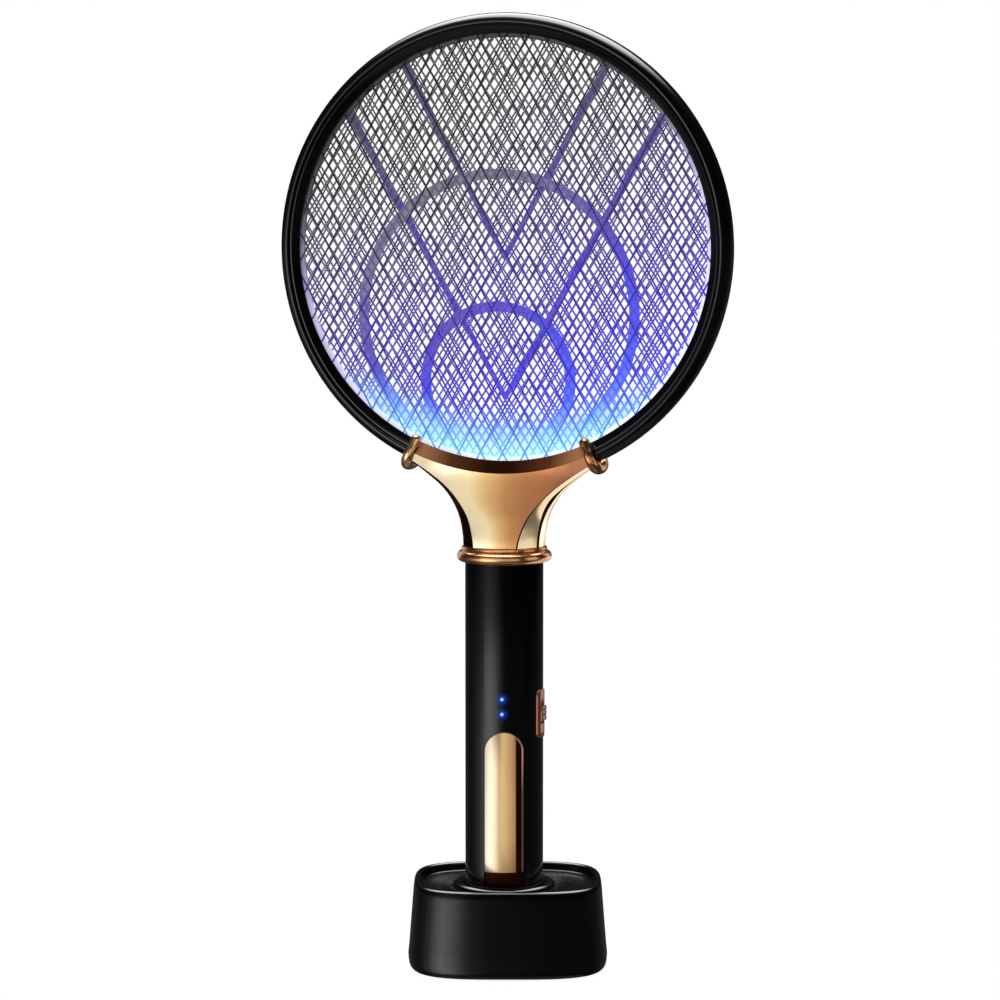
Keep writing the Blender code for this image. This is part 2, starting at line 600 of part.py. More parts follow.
def dock_housing():
    """One skin: outer wall, rim, sunk top, lip round the socket, and back down inside."""
    outer = [(3.8, 0.5), (2.3, 0.9), (1.1, 2.0), (0.4, 4.0), (0.0, 6.0), (2.7, 38.8), (3.1, 40.1),
             (3.9, 40.8), (4.8, RIM_TOP_Z), (5.7, 40.6), (6.2, 39.8), (6.5, 37.7), (7.1, FLOOR_Z)]
    lip = [(25.4, FLOOR_Z), (24.8, 37.6), (24.5, 39.2), (23.6, 40.1), (22.2, 40.4), (20.4, 40.3),
           (19.2, 39.7), (SOCKET_R, 38.8), (SOCKET_R, 12.3), (16.5, 12.3), (16.5, 11.1),
           (20.9, 11.1), (20.9, FLOOR_Z - 2.2)]
    inner = [(5.2, FLOOR_Z - 2.2), (2.8, 9.0), (4.2, 5.4), (7.6, 4.6), (7.6, 1.0)]
    rings = [footprint(*p) for p in outer] + [socket_ring(*p) for p in lip]
    rings += [footprint(*p) for p in inner]
    housing = loft("dock_housing", rings, BLACK, None, True)
    mouth = outline_solid("usb_mouth", [rounded_box(5.0, 2.1, 1.6)], -45, -30, None,
                          turned_place(0, 0, INLET_Z) @ FACING)
    boolean(housing, mouth)
    for number, at in enumerate(DOCK_SCREWS):
        place = turned_place(*at)
        boolean(housing, rod(f"boss_{number}", 3.2, 4.3, FLOOR_Z - 1, None, place, 20), "UNION")
        boolean(housing, rod(f"pilot_{number}", 1.4, 3.0, 14.0, None, place, 12))
    return housing


def dock_base():
    outline = [(x, y) for x, y, z in footprint(7.9, 0)]
    plate = outline_solid("dock_base_plate", [outline], 1.9, 3.9, MATT)
    screw = [(0, 12.0), (1.0, 12.0), (1.0, 2.9), (2.4, 2.9), (2.4, 2.0), (0, 2.0)]
    for number, at in enumerate(DOCK_SCREWS):
        place = turned_place(*at)
        boolean(plate, rod(f"screw_hole_{number}", 1.5, 1, 5, None, place, 14))
        boolean(plate, rod(f"screw_sink_{number}", 2.7, 1, 3.2, None, place, 18))
        turned(f"dock_screw_{number + 1}", screw, 14, STEEL, place)
    foot = [(0, 1.6), (5.0, 1.6), (5.0, 0.4), (4.6, 0), (0, 0)]
    for number, at in enumerate(FEET):
        turned(f"dock_foot_{number + 1}", foot, 24, RUBBER, turned_place(*at))


def dock_contacts():
    axis = Matrix.Translation(vec(0, AXIS_Y, 0))
    holder = rod("contact_holder", SOCKET_R - 0.35, 12.6, 15.3, MATT, axis, 32)
    for side, label in ((-1, "left"), (1, "right")):
        place = Matrix.Translation(vec(side * CONTACT_X, AXIS_Y, 0))
        boolean(holder, rod(f"pin_hole_{label}", 1.35, 11, 17, None, place, 18))
        profile = [(0, PIN_TOP_Z), (0.6, PIN_TOP_Z - 0.1), (1.0, PIN_TOP_Z - 0.6), (1.0, 12.2),
                   (1.9, 12.2), (1.9, 10.9), (0, 10.9)]
        turned(f"contact_pin_{label}", profile, 16, BRASS, place)
        turns, per_turn = 3, 6
        points = [(1.3 * math.cos(2 * math.pi * i / per_turn), 1.3 * math.sin(2 * math.pi * i / per_turn),
                   7.2 + 3.2 * i / (turns * per_turn)) for i in range(turns * per_turn + 1)]
        wire(f"contact_spring_{label}", points, 0.2, STEEL, place)


def dock_electronics():
    box("dock_circuit_board", (-22, -16, 5.2), (22, 31.5, 6.6), BOARD, turned_place(0, 0))
    place = turned_place(0, 0, INLET_Z) @ FACING
    shell = outline_solid("usb_socket", [rounded_box(4.5, 1.6, 1.4)], -37.6, -31.0, STEEL, place)
    cavity = outline_solid("usb_cavity", [rounded_box(4.15, 1.25, 1.1)], -40, -32.0, None, place)
    boolean(shell, cavity)
    tongue = box("usb_tongue", (-3.3, 31.5, -0.35), (3.3, 36.8, 0.35), None,
                 turned_place(0, 0, INLET_Z))
    boolean(shell, tongue, "UNION")


clear_scene()
PARTS = collection("electric_fly_swatter")
CUTTERS = collection("cutters")

hoop_shell("hoop_front_shell", True)
hoop_shell("hoop_rear_shell", False)
hoop_screws()
mesh_disc("front_guard_mesh", 2.9, 3.4, 0.0)
mesh_disc("high_voltage_mesh", -0.4, 0.4, 0.5)
mesh_disc("rear_guard_mesh", -3.4, -2.9, 0.0)
outline_solid("front_spacer_ring", [circle(RIM_R, HOOP_STEPS), circle(MESH_R + 0.6, HOOP_STEPS)],
              0.75, 2.6, RIB, hoop_matrix())
rib_frame()
collar("left_collar", -1)
collar("right_collar", 1)
uv_lamps()
leads()
neck_shells()
neck_ring()
handle_sleeve()
end_cap()
trigger()
lamps()
mode_switch()
electronics()
dock_housing()
dock_base()
dock_contacts()
dock_electronics()
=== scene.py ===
"""Looks of the electric fly swatter in its charging dock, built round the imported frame.

Sizes inside the makers are in millimetres and metres are used only where Blender needs
them.  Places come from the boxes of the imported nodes.
"""
import json
import math
import random

import bmesh
import bpy
from mathutils import Matrix, Vector


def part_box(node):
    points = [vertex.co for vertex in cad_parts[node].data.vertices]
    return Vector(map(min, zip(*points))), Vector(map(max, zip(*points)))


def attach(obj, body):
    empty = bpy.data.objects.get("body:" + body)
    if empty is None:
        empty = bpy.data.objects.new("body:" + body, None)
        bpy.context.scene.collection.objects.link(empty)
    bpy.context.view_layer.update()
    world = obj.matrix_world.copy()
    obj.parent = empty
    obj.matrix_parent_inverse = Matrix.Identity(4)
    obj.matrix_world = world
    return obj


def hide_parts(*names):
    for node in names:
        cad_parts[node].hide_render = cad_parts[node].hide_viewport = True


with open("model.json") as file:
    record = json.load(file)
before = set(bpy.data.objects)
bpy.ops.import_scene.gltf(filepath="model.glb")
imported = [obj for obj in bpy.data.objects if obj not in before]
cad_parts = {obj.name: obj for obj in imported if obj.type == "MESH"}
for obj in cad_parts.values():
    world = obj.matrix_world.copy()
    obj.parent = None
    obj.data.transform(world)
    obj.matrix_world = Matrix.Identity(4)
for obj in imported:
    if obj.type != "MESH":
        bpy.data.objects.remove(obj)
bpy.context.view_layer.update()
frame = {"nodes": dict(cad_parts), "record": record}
MM = 0.001


def box_mm(node):
    low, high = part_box(node)
    return low / MM, high / MM


def middle_mm(node):
    low, high = box_mm(node)
    return (low + high) / 2


# ---- places read from the frame
hoop_low, hoop_high = box_mm("hoop_front_shell")
sleeve_low, sleeve_high = box_mm("handle_sleeve")
plate_low, plate_high = box_mm("trigger_plate")
ring_low, ring_high = box_mm("neck_ring")
live_low, live_high = box_mm("high_voltage_mesh")

AXIS_Y = (sleeve_low.y + sleeve_high.y) / 2
HANDLE_R = (sleeve_high.x - sleeve_low.x) / 2
HOOP_R = (hoop_high.x - hoop_low.x) / 2
HOOP_Z = (hoop_low.z + hoop_high.z) / 2
RIM_R = (live_high.x - live_low.x) / 2    # outer radius of the meshes
MESH_R = RIM_R - 3.7                      # radius of the mesh that shows inside the hoop
MESH_CENTRE = (0, AXIS_Y * MM, HOOP_Z * MM)
RIM_TOP_Z = box_mm("dock_housing")[1].z

# Turns round the handle from the racket's front, towards its right side.
TRIM_DEG = 15.5
LAMP_DEG = 12.5
SWITCH_DEG = 86.0
SWITCH_Z = middle_mm("mode_switch_bezel").z
PLATE_HALF_WIDTH = 9.0
PLATE_TOP_Z = plate_high.z - 1.2
PLATE_BOTTOM_Z = plate_low.z + 1.2
LAMPS = {"lower": "indicator_lamp_lower", "upper": "indicator_lamp_upper"}
HOOP_SCREWS = range(1, 7)

SHARP_DEG = 32.0     # edges sharper than this stay crisp
HOOP_STEPS = 288
RIM_STEPS = 180


# ---- material helpers

class Graph:
    """Short calls for building one node tree; sources and results are output sockets."""

    def __init__(self, tree):
        self.tree = tree

    def add(self, kind, **settings):
        node = self.tree.nodes.new(kind)
        for key, value in settings.items():
            if key in node.inputs:
                node.inputs[key].default_value = value
            else:
                setattr(node, key, value)
        return node

    def link(self, output, target):
        self.tree.links.new(output, target)

    def place(self):
        return self.add("ShaderNodeTexCoord").outputs["Object"]

    def noise(self, scale, detail):
        node = self.add("ShaderNodeTexNoise", Scale=scale, Detail=detail)
        self.link(self.place(), node.inputs["Vector"])
        return node.outputs["Fac"]

    def ramp(self, source, stops):
        node = self.add("ShaderNodeValToRGB")
        elements = node.color_ramp.elements
        while len(elements) < len(stops):
            elements.new(0.5)
        for element, (position, value) in zip(elements, stops):
            element.position = position
            element.color = value if len(value) == 4 else (*value, 1.0)
        self.link(source, node.inputs["Fac"])
        return node.outputs["Color"]

    def mix(self, factor, a, b):
        """Blend two colours; each is a constant or an output."""
        node = self.add("ShaderNodeMix", data_type="RGBA")
        self.link(factor, node.inputs[0])
        for socket, value in zip((node.inputs[6], node.inputs[7]), (a, b)):
            if isinstance(value, tuple):
                socket.default_value = (*value, 1.0)
            else:
                self.link(value, socket)
        return node.outputs[2]

    def smooth(self, source, low, high):
        """0 below low, 1 above high, eased between; low may be the larger."""
        if low > high:
            return self.span(source, high, low, 1.0, 0.0, "SMOOTHSTEP")
        return self.span(source, low, high, 0.0, 1.0, "SMOOTHSTEP")

    def dot(self, source, direction):
        node = self.add("ShaderNodeVectorMath", operation="DOT_PRODUCT")
        self.link(source, node.inputs[0])
        node.inputs[1].default_value = direction
        return node.outputs["Value"]

    def distance(self, point):
        """Distance from a place on the object, in metres."""
        node = self.add("ShaderNodeVectorMath", operation="DISTANCE")
        self.link(self.place(), node.inputs[0])
        node.inputs[1].default_value = point
        return node.outputs["Value"]

    def span(self, source, low, high, to_low=0.0, to_high=1.0, easing="LINEAR"):
        node = self.add("ShaderNodeMapRange", interpolation_type=easing)
        ends = (("From Min", low), ("From Max", high), ("To Min", to_low), ("To Max", to_high))
        for name, value in ends:
            node.inputs[name].default_value = value
        self.link(source, node.inputs["Value"])
        return node.outputs["Result"]

    def axis(self, name):
        split = self.add("ShaderNodeSeparateXYZ")
        self.link(self.place(), split.inputs[0])
        return split.outputs[name]

    def math(self, operation, a, b=0.0):
        node = self.add("ShaderNodeMath", operation=operation)
        for socket, value in zip(node.inputs, (a, b)):
            if isinstance(value, (int, float)):
                socket.default_value = value
            else:
                self.link(value, socket)
        return node.outputs[0]


def grey_stops(*pairs):
    return [(place, (level, level, level)) for place, level in pairs]


class Nodes(Graph):
    """One surface material round a Principled shader."""

    def __init__(self, name):
        self.material = bpy.data.materials.new(name)
        self.material.use_nodes = True
        super().__init__(self.material.node_tree)
        self.shader = self.tree.nodes["Principled BSDF"]

    def set(self, **values):
        for key, value in values.items():
            self.shader.inputs[key.replace("_", " ")].default_value = value

    def feed(self, socket, output):
        self.link(output, self.shader.inputs[socket])

    def bump(self, height, strength, distance):
        node = self.add("ShaderNodeBump", Strength=strength, Distance=distance)
        self.link(height, node.inputs["Height"])
        self.feed("Normal", node.outputs["Normal"])


def gloss_black(name="gloss_black", lamps=()):
    """High gloss moulding with faint handling marks; round any lamps a painted blue glow of their light."""
    n = Nodes(name)
    n.set(Specular_IOR_Level=0.5)
    stops = [(0.35, (0.0022, 0.0022, 0.0024)), (0.7, (0.0034, 0.0034, 0.0038))]
    n.feed("Base Color", n.ramp(n.noise(22, 4), stops))
    n.feed("Roughness", n.span(n.noise(55, 5), 0.3, 0.75, 0.14, 0.19))
    n.bump(n.noise(260, 2), 0.03, 0.0002)
    # round each lamp the black is painted with a blue glow of the lamp's light, fading within a few
    # millimetres
    if lamps:
        glow = None
        for lamp in lamps:
            near = n.smooth(n.distance(lamp), 4.4 * MM, 0.5 * MM)
            near = n.math("MULTIPLY", near, near)
            glow = n.math("ADD", glow, near) if glow else near
        n.set(Emission_Color=(0.01, 0.09, 0.85, 1))
        n.feed("Emission Strength", n.math("MULTIPLY", glow, 0.34))
    return n.material


def matt_plastic(name, colour, roughness=0.55):
    """Plain moulded plastic with a fine spark-eroded grain."""
    n = Nodes(name)
    lighter = tuple(c * 1.35 + 0.004 for c in colour)
    n.feed("Base Color", n.ramp(n.noise(90, 4), [(0.3, colour), (0.8, lighter)]))
    n.feed("Roughness", n.span(n.noise(300, 3), 0.2, 0.8, roughness - 0.08, roughness + 0.08))
    n.bump(n.noise(2500, 2), 0.25, 0.0001)
    return n.material


def plated(name, stops, start, end, painted_emission, shaped=False):
    """Polished plating with painted reflections that deepen across the front from start to end, and a
    painted glow in its own colour.

    A shaped piece has a painted pale highlight on its right flank, and painted dark brown shade on its left
    flank and upper edge.
    """
    n = Nodes(name)
    n.set(Metallic=1.0, Emission_Strength=painted_emission)
    across = n.axis("X")
    if shaped:
        # down in the narrow part the painted reflection bands draw together and move to the right
        narrow = n.smooth(n.axis("Z"), 0.223, 0.203)
        squeeze = n.math("SUBTRACT", n.math("MULTIPLY", across, 0.6), 0.010)
        across = n.math("ADD", across, n.math("MULTIPLY", narrow, squeeze))
    drift = n.span(n.noise(35, 3), 0.3, 0.7, -0.03, 0.03)
    colour = n.ramp(n.math("ADD", n.span(across, start * MM, end * MM), drift), stops)
    if shaped:
        # painted light by facing: a pale painted highlight on the right flank, painted shade on the left
        # flank and a dark painted top edge, lighter outward, with its specular dimmed too
        facing = n.add("ShaderNodeNewGeometry").outputs["Normal"]
        right = n.smooth(n.dot(facing, (0.8, 0, -0.6)), 0.35, 0.5)
        left = n.smooth(n.dot(facing, (-0.8, 0, -0.6)), 0.35, 0.5)
        upper = n.smooth(n.dot(facing, (0, 0, 1)), 0.30, 0.38)
        outward = n.span(n.math("ABSOLUTE", n.axis("X")), 0.0, 0.04)
        cut = n.ramp(outward, [(0.15, (0.02, 0.006, 0.002)), (0.6, (0.09, 0.03, 0.012)),
                               (1.0, (0.42, 0.18, 0.08))])
        colour = n.mix(right, colour, (0.95, 0.72, 0.42))
        colour = n.mix(left, colour, (0.05, 0.018, 0.008))
        colour = n.mix(upper, colour, cut)
        edge = n.mix(n.math("MAXIMUM", left, upper), (1.0, 1.0, 1.0), (0.12, 0.05, 0.03))
        n.feed("Specular Tint", edge)
        n.feed("Metallic", n.math("SUBTRACT", 1.0, upper))
        n.set(Specular_IOR_Level=0.0)
    n.feed("Base Color", colour)
    n.feed("Emission Color", colour)
    n.feed("Roughness", n.span(n.noise(120, 4), 0.3, 0.75, 0.17, 0.22))
    n.bump(n.noise(420, 2), 0.02, 0.0002)
    return n.material


def metal(name, colour, roughness=0.3):
    n = Nodes(name)
    n.set(Metallic=1.0)
    darker = tuple(c * 0.78 for c in colour)
    n.feed("Base Color", n.ramp(n.noise(140, 4), [(0.3, darker), (0.7, colour)]))
    n.feed("Roughness", n.span(n.noise(400, 3), 0.2, 0.8, roughness - 0.07, roughness + 0.1))
    n.bump(n.noise(900, 2), 0.1, 0.0001)
    return n.material


def mesh_height(n):
    """0 at the foot of the open mesh, 1 at its top."""
    return n.span(n.axis("Z"), (HOOP_Z - MESH_R) * MM, (HOOP_Z + MESH_R) * MM)


def lamp_light(n):
    """How far a point lies in the painted light of the ultraviolet lamps, round the foot of the mesh."""
    outer = n.smooth(n.distance(MESH_CENTRE), 0.70 * MESH_R * MM, 0.99 * MESH_R * MM)
    return n.math("MULTIPLY", outer, n.smooth(mesh_height(n), 0.27, 0.0))


def leaning(n, height, lean):
    """A height that reads lower towards the right: by lean, 100 mm from the middle."""
    return n.math("ADD", height, n.span(n.axis("X"), -0.1, 0.1, lean, -lean))


def lit_wire(name, stops, lit_colour, glow, metallic, lean):
    """Wire with painted lamp light: grey at the top, a painted violet glow lower down and a painted cyan
    glow by the lamps.
    """
    n = Nodes(name)
    n.set(Metallic=metallic, Roughness=0.4)
    lit = lamp_light(n)
    height = n.math("ADD", mesh_height(n), n.span(n.noise(16, 3), 0.3, 0.7, -0.06, 0.06))
    height = leaning(n, height, lean)
    colour = n.mix(lit, n.ramp(height, stops), lit_colour)
    n.feed("Base Color", colour)
    n.feed("Emission Color", colour)
    base = n.ramp(height, grey_stops(*glow))
    n.feed("Emission Strength", n.math("ADD", base, n.math("MULTIPLY", lit, 0.25)))
    n.bump(n.noise(1500, 2), 0.2, 0.0001)
    return n.material


def painted_lamp_glow():
    """A see-through sheet with a painted glow of the lamps' light, rising between the meshes and fading
    out.
    """
    n = Nodes("painted_lamp_glow")
    n.set(Base_Color=(0.3, 0.5, 0.7, 1), Roughness=0.3, Emission_Strength=0.75)
    lit = lamp_light(n)
    cloud = n.span(n.noise(60, 4), 0.25, 0.75, 0.75, 1.1)
    stops = [(0.1, (0.42, 0.5, 0.95)), (0.5, (0.36, 0.62, 0.92)), (0.95, (0.68, 0.84, 0.84))]
    n.feed("Emission Color", n.ramp(lit, stops))
    alpha = n.math("MULTIPLY", n.math("MULTIPLY", n.smooth(lit, 0.05, 0.8), cloud), 0.72)
    n.feed("Alpha", alpha)
    return n.material


def milky_ring():
    """Milky spacer ring with painted lamp light: painted white glow low down by the lamps, painted violet
    grey higher up and painted shade near the top.
    """
    n = Nodes("milky_ring")
    n.set(Roughness=0.4)
    height = leaning(n, mesh_height(n), 0.16)
    colour = n.ramp(height, [(0.0, (0.85, 0.95, 1.0)), (0.22, (0.8, 0.8, 1.0)), (0.5, (0.62, 0.6, 0.85)),
                             (0.7, (0.25, 0.24, 0.32)), (0.85, (0.09, 0.09, 0.1))])
    n.feed("Base Color", colour)
    n.feed("Emission Color", colour)
    glow = n.ramp(height, grey_stops((0.0, 0.8), (0.5, 0.6), (0.8, 0.05)))
    cloud = n.span(n.noise(40, 3), 0.3, 0.7, -0.08, 0.05)
    n.feed("Emission Strength", n.math("ADD", cloud, glow))
    return n.material


def lamp_lens(lamps):
    """Blue lens with a small white core."""
    n = Nodes("lamp_lens")
    n.set(Base_Color=(0.004, 0.02, 0.12, 1), Roughness=0.15, Emission_Strength=1.0)
    nearest = None
    for lamp in lamps:
        away = n.distance(lamp)
        nearest = n.math("MINIMUM", nearest, away) if nearest else away
    colour = n.ramp(n.span(nearest, 0.0, 1.4 * MM), [(0.25, (0.55, 0.8, 1.0)), (0.5, (0.12, 0.3, 0.95)),
                                                     (0.75, (0.01, 0.09, 0.5)), (1.0, (0.004, 0.05, 0.32))])
    n.feed("Emission Color", colour)
    return n.material


def board_green():
    n = Nodes("circuit_board")
    n.set(Roughness=0.4)
    cells = n.add("ShaderNodeTexVoronoi", Scale=420.0, feature="DISTANCE_TO_EDGE")
    n.link(n.place(), cells.inputs["Vector"])
    stops = [(0.03, (0.06, 0.35, 0.14)), (0.12, (0.01, 0.13, 0.05))]
    n.feed("Base Color", n.ramp(cells.outputs["Distance"], stops))
    return n.material


# ---- mesh helpers

def vec(x, y, z):
    return Vector((x * MM, y * MM, z * MM))


def side_matrix(angle_deg, z=0.0):
    """A place on the handle's axis, turned so that local -Y points out at that angle."""
    return Matrix.Translation(vec(0, AXIS_Y, z)) @ Matrix.Rotation(math.radians(angle_deg), 4, "Z")


FACING = Matrix.Rotation(math.pi / 2, 4, "X")     # local Z to the front, local Y up
HANDLE_AXIS = side_matrix(0.0)
HOOP_PLACE = Matrix.Translation(vec(0, AXIS_Y, HOOP_Z)) @ FACING


def circle(radius, steps, z=0.0, middle=(0.0, 0.0)):
    """Points of a level circle."""
    turns = [2 * math.pi * i / steps for i in range(steps)]
    return [(middle[0] + radius * math.cos(a), middle[1] + radius * math.sin(a), z) for a in turns]


def add_object(name, data):
    made = bpy.data.objects.new(name, data)
    bpy.context.scene.collection.objects.link(made)
    return made


def make(name, bm, matrix=None, sharp=SHARP_DEG):
    """Close a bmesh into an object whose mesh is already in the row frame."""
    bmesh.ops.remove_doubles(bm, verts=bm.verts, dist=1e-7)
    bmesh.ops.dissolve_degenerate(bm, edges=bm.edges, dist=1e-7)
    bmesh.ops.recalc_face_normals(bm, faces=bm.faces)
    mesh = bpy.data.meshes.new(name)
    bm.to_mesh(mesh)
    bm.free()
    if matrix:
        mesh.transform(matrix)
    made = add_object(name, mesh)
    shade(made, sharp)
    return made


def shade(obj, sharp=SHARP_DEG):
    obj.data.shade_smooth()
    obj.data.set_sharp_from_angle(angle=math.radians(sharp))


def skin(bm, rings, close_along=False, marks=None):
    """Skin rings of points in millimetres; a face beside a marked point takes the second material."""
    made = [[bm.verts.new(Vector(p) * MM) for p in ring] for ring in rings]
    count = len(made[0])
    pairs = list(zip(made, made[1:])) + ([(made[-1], made[0])] if close_along else [])
    for lower, upper in pairs:
        for i in range(count):
            j = (i + 1) % count
            face = bm.faces.new((lower[i], lower[j], upper[j], upper[i]))
            face.material_index = 1 if marks and (marks[i] or marks[j]) else 0
    if not close_along:
        bm.faces.new(list(reversed(made[0])))
        bm.faces.new(made[-1])


def turned_skin(bm, profile, steps):
    """Turn a closed profile of (radius, height) about local Z."""
    rings = []
    for i in range(steps):
        c, s = math.cos(2 * math.pi * i / steps), math.sin(2 * math.pi * i / steps)
        rings.append([(r * c, r * s, z) for r, z in profile])
    skin(bm, rings, True)


def turned(name, profile, steps, matrix=None, sharp=SHARP_DEG):
    bm = bmesh.new()
    turned_skin(bm, profile, steps)
    return make(name, bm, matrix, sharp)


def prism(name, outline, low, high, matrix=None):
    bm = bmesh.new()
    skin(bm, [[(x, y, low) for x, y in outline], [(x, y, high) for x, y in outline]])
    return make(name, bm, matrix)


def block(name, low, high, matrix=None):
    outline = [(low[0], low[1]), (high[0], low[1]), (high[0], high[1]), (low[0], high[1])]
    return prism(name, outline, low[2], high[2], matrix)


def combine(obj, other, operation="DIFFERENCE"):
    """Apply a Boolean and drop the other object."""
    step = obj.modifiers.new("cut", "BOOLEAN")
    step.operation = operation
    step.solver = "EXACT"
    step.object = other
    apply_modifiers(obj)
    bpy.data.objects.remove(other, do_unlink=True)
    return obj


def apply_modifiers(obj):
    bpy.context.view_layer.update()
    graph = bpy.context.evaluated_depsgraph_get()
    mesh = bpy.data.meshes.new_from_object(obj.evaluated_get(graph))
    obj.modifiers.clear()
    obj.data = mesh


def bevel(obj, width, segments=2):
    """Round the piece's sharp edges."""
    bm = bmesh.new()
    bm.from_mesh(obj.data)
    bmesh.ops.remove_doubles(bm, verts=bm.verts, dist=1e-7)
    bmesh.ops.dissolve_limit(bm, angle_limit=0.002, verts=bm.verts, edges=bm.edges)
    bm.to_mesh(obj.data)
    bm.free()
    step = obj.modifiers.new("edge", "BEVEL")
    step.width = width * MM
    step.segments = segments
    step.limit_method = "ANGLE"
    step.angle_limit = math.radians(40)
    step.use_clamp_overlap = True
    apply_modifiers(obj)
    shade(obj)


def smooth_path(points, per_span):
    """Catmull-Rom points through tuples of any length."""
    made = []
    for i in range(len(points) - 1):
        p0 = points[max(i - 1, 0)]
        p1, p2 = points[i], points[i + 1]
        p3 = points[min(i + 2, len(points) - 1)]
        for k in range(per_span):
            t = k / per_span
            made.append(tuple(
                0.5 * (2 * b + (c - a) * t + (2 * a - 5 * b + 4 * c - d) * t * t
                       + (3 * b - a - 3 * c + d) * t ** 3)
                for a, b, c, d in zip(p0, p1, p2, p3)))
    return made + [tuple(points[-1])]


DOME_STEPS = (0.0, 0.35, 0.75, 1.1, 1.45)    # angles of the rings in a tube's round end


def tube(bm, path, radii, sides, round_ends=True):
    """A round tube along points in millimetres, with a radius at each point."""
    points = [Vector(p) for p in path]
    normal = None
    rings = []
    for i, point in enumerate(points):
        along = (points[min(i + 1, len(points) - 1)] - points[max(i - 1, 0)]).normalized()
        if normal is None:
            normal = along.orthogonal().normalized()
        normal = (normal - along * normal.dot(along)).normalized()
        side = along.cross(normal)
        ends = [(0.0, 1.0)]
        if round_ends and i == 0:
            ends = [(-math.sin(a), math.cos(a)) for a in reversed(DOME_STEPS)]
        if round_ends and i == len(points) - 1:
            ends = [(math.sin(a), math.cos(a)) for a in DOME_STEPS]
        for push, shrink in ends:
            centre = point + along * push * radii[i]
            rings.append([centre + (normal * math.cos(t) + side * math.sin(t)) * radii[i] * shrink
                          for t in (2 * math.pi * k / sides for k in range(sides))])
    skin(bm, rings)


def rounded_box(half_width, half_height, radius):
    steps = 8
    points = []
    for quarter, (sx, sy) in enumerate(((1, 1), (-1, 1), (-1, -1), (1, -1))):
        for i in range(steps + 1):
            angle = math.pi / 2 * (quarter + i / steps)
            points.append((sx * (half_width - radius) + radius * math.cos(angle),
                           sy * (half_height - radius) + radius * math.sin(angle)))
    return points


def stadium(half_width, low, high, steps=28):
    top = [(half_width * math.cos(math.pi * i / steps),
            high - half_width + half_width * math.sin(math.pi * i / steps)) for i in range(steps + 1)]
    return top + [(-half_width, low), (half_width, low)]


def curved_plate(name, outline, r_in, r_out, z_mid, angle_deg):
    """A plate on the handle's cylinder, cut to an outline of (across, height)."""
    place = side_matrix(angle_deg, z_mid)
    plate = prism(name, outline, 8.0, 24.0, place @ FACING)
    heights = [point[1] for point in outline]
    low, high = min(heights) - 2, max(heights) + 2
    ring = turned(name + "_ring", [(r_in, high), (r_out, high), (r_out, low), (r_in, low)], 240, place)
    return combine(plate, ring, "INTERSECT")


# Pieces that some of the lights are kept to.
gilded = bpy.data.collections.new("gilded")
neck_parts = bpy.data.collections.new("neck_parts")


def place_piece(obj, body, slot, look, *nodes):
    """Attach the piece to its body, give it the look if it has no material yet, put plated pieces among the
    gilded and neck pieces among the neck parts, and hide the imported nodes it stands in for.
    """
    if not obj.data.materials:
        obj.data.materials.append(look)
    if slot in ("rose_gold", "copper_gold"):
        gilded.objects.link(obj)
    if obj.name.startswith("neck_"):
        neck_parts.objects.link(obj)
    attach(obj, body)
    if nodes:
        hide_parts(*nodes)


# ---- racket head

def hoop_section():
    """Section of one shell: a round outer bead, a fine groove and a flange down to the mesh."""
    bead = smooth_path([(HOOP_R, 0.15), (HOOP_R, 1.7), (HOOP_R - 0.5, 4.2), (HOOP_R - 1.9, 6.3),
                        (HOOP_R - 3.6, 7.3), (HOOP_R - 4.7, 7.2), (HOOP_R - 5.1, 6.5)], 4)
    flange = [(HOOP_R - 5.3, 6.1), (HOOP_R - 5.6, 6.2), (HOOP_R - 5.8, 6.7), (HOOP_R - 6.3, 6.75),
              (MESH_R + 2.0, 5.6), (MESH_R + 0.6, 4.75), (MESH_R + 0.15, 4.45), (MESH_R, 4.1)]
    inside = [(MESH_R, 3.75), (MESH_R + 4.0, 3.75), (MESH_R + 4.4, 5.0), (HOOP_R - 3.2, 5.2),
              (HOOP_R - 1.6, 2.4), (HOOP_R - 1.6, 0.15)]
    return bead + flange + inside


def hoop(look):
    """Both shells of the hoop; the rear one has its six screw wells."""
    front = turned("hoop_front", hoop_section(), HOOP_STEPS, HOOP_PLACE)
    place_piece(front, "racket", "gloss_black", look, "hoop_front_shell")
    flip = Matrix.Rotation(math.pi, 4, "X")
    rear = turned("hoop_rear", hoop_section(), HOOP_STEPS, HOOP_PLACE @ flip)
    bm = bmesh.new()
    for number in HOOP_SCREWS:
        middle = middle_mm(f"hoop_screw_{number}")
        rings = [[(x, y, z) for x, z, level in circle(2.0, 24, 0.0, (middle.x, middle.z))]
                 for y in (AXIS_Y + 6.3, AXIS_Y + 12)]
        skin(bm, rings)
    combine(rear, make("screw_wells", bm))
    shade(rear)
    place_piece(rear, "racket", "gloss_black", look, "hoop_rear_shell")


def screw_head(name, radius, matrix):
    """A pan head with a cross recess; local Z points out of it."""
    profile = [(0.0, 0.7), (radius * 0.55, 0.66), (radius * 0.88, 0.45), (radius, 0.12), (radius, -0.3),
               (radius * 0.4, -0.3), (radius * 0.4, -5.0), (0.0, -5.4)]
    head = turned(name, profile, 36, matrix)
    for turn in (0, 90):
        place = matrix @ Matrix.Rotation(math.radians(turn + 20), 4, "Z")
        low, high = (-radius * 0.55, -radius * 0.13, 0.1), (radius * 0.55, radius * 0.13, 1)
        combine(head, block("recess", low, high, place))
    shade(head)
    return head


def hoop_screws(look):
    to_rear = Matrix.Rotation(-math.pi / 2, 4, "X")
    for number in HOOP_SCREWS:
        node = f"hoop_screw_{number}"
        middle = middle_mm(node)
        place = Matrix.Translation(vec(middle.x, box_mm(node)[1].y - 0.7, middle.z)) @ to_rear
        place_piece(screw_head(f"screw_hoop_{number}", 1.7, place), "racket", "steel", look, node)


GUARD_OPENING = (10.6, 19.0)    # width and height of one diamond
LIVE_OPENING = (4.15, 6.3)
WAVER = 0.10                    # how far a wire strays from its place


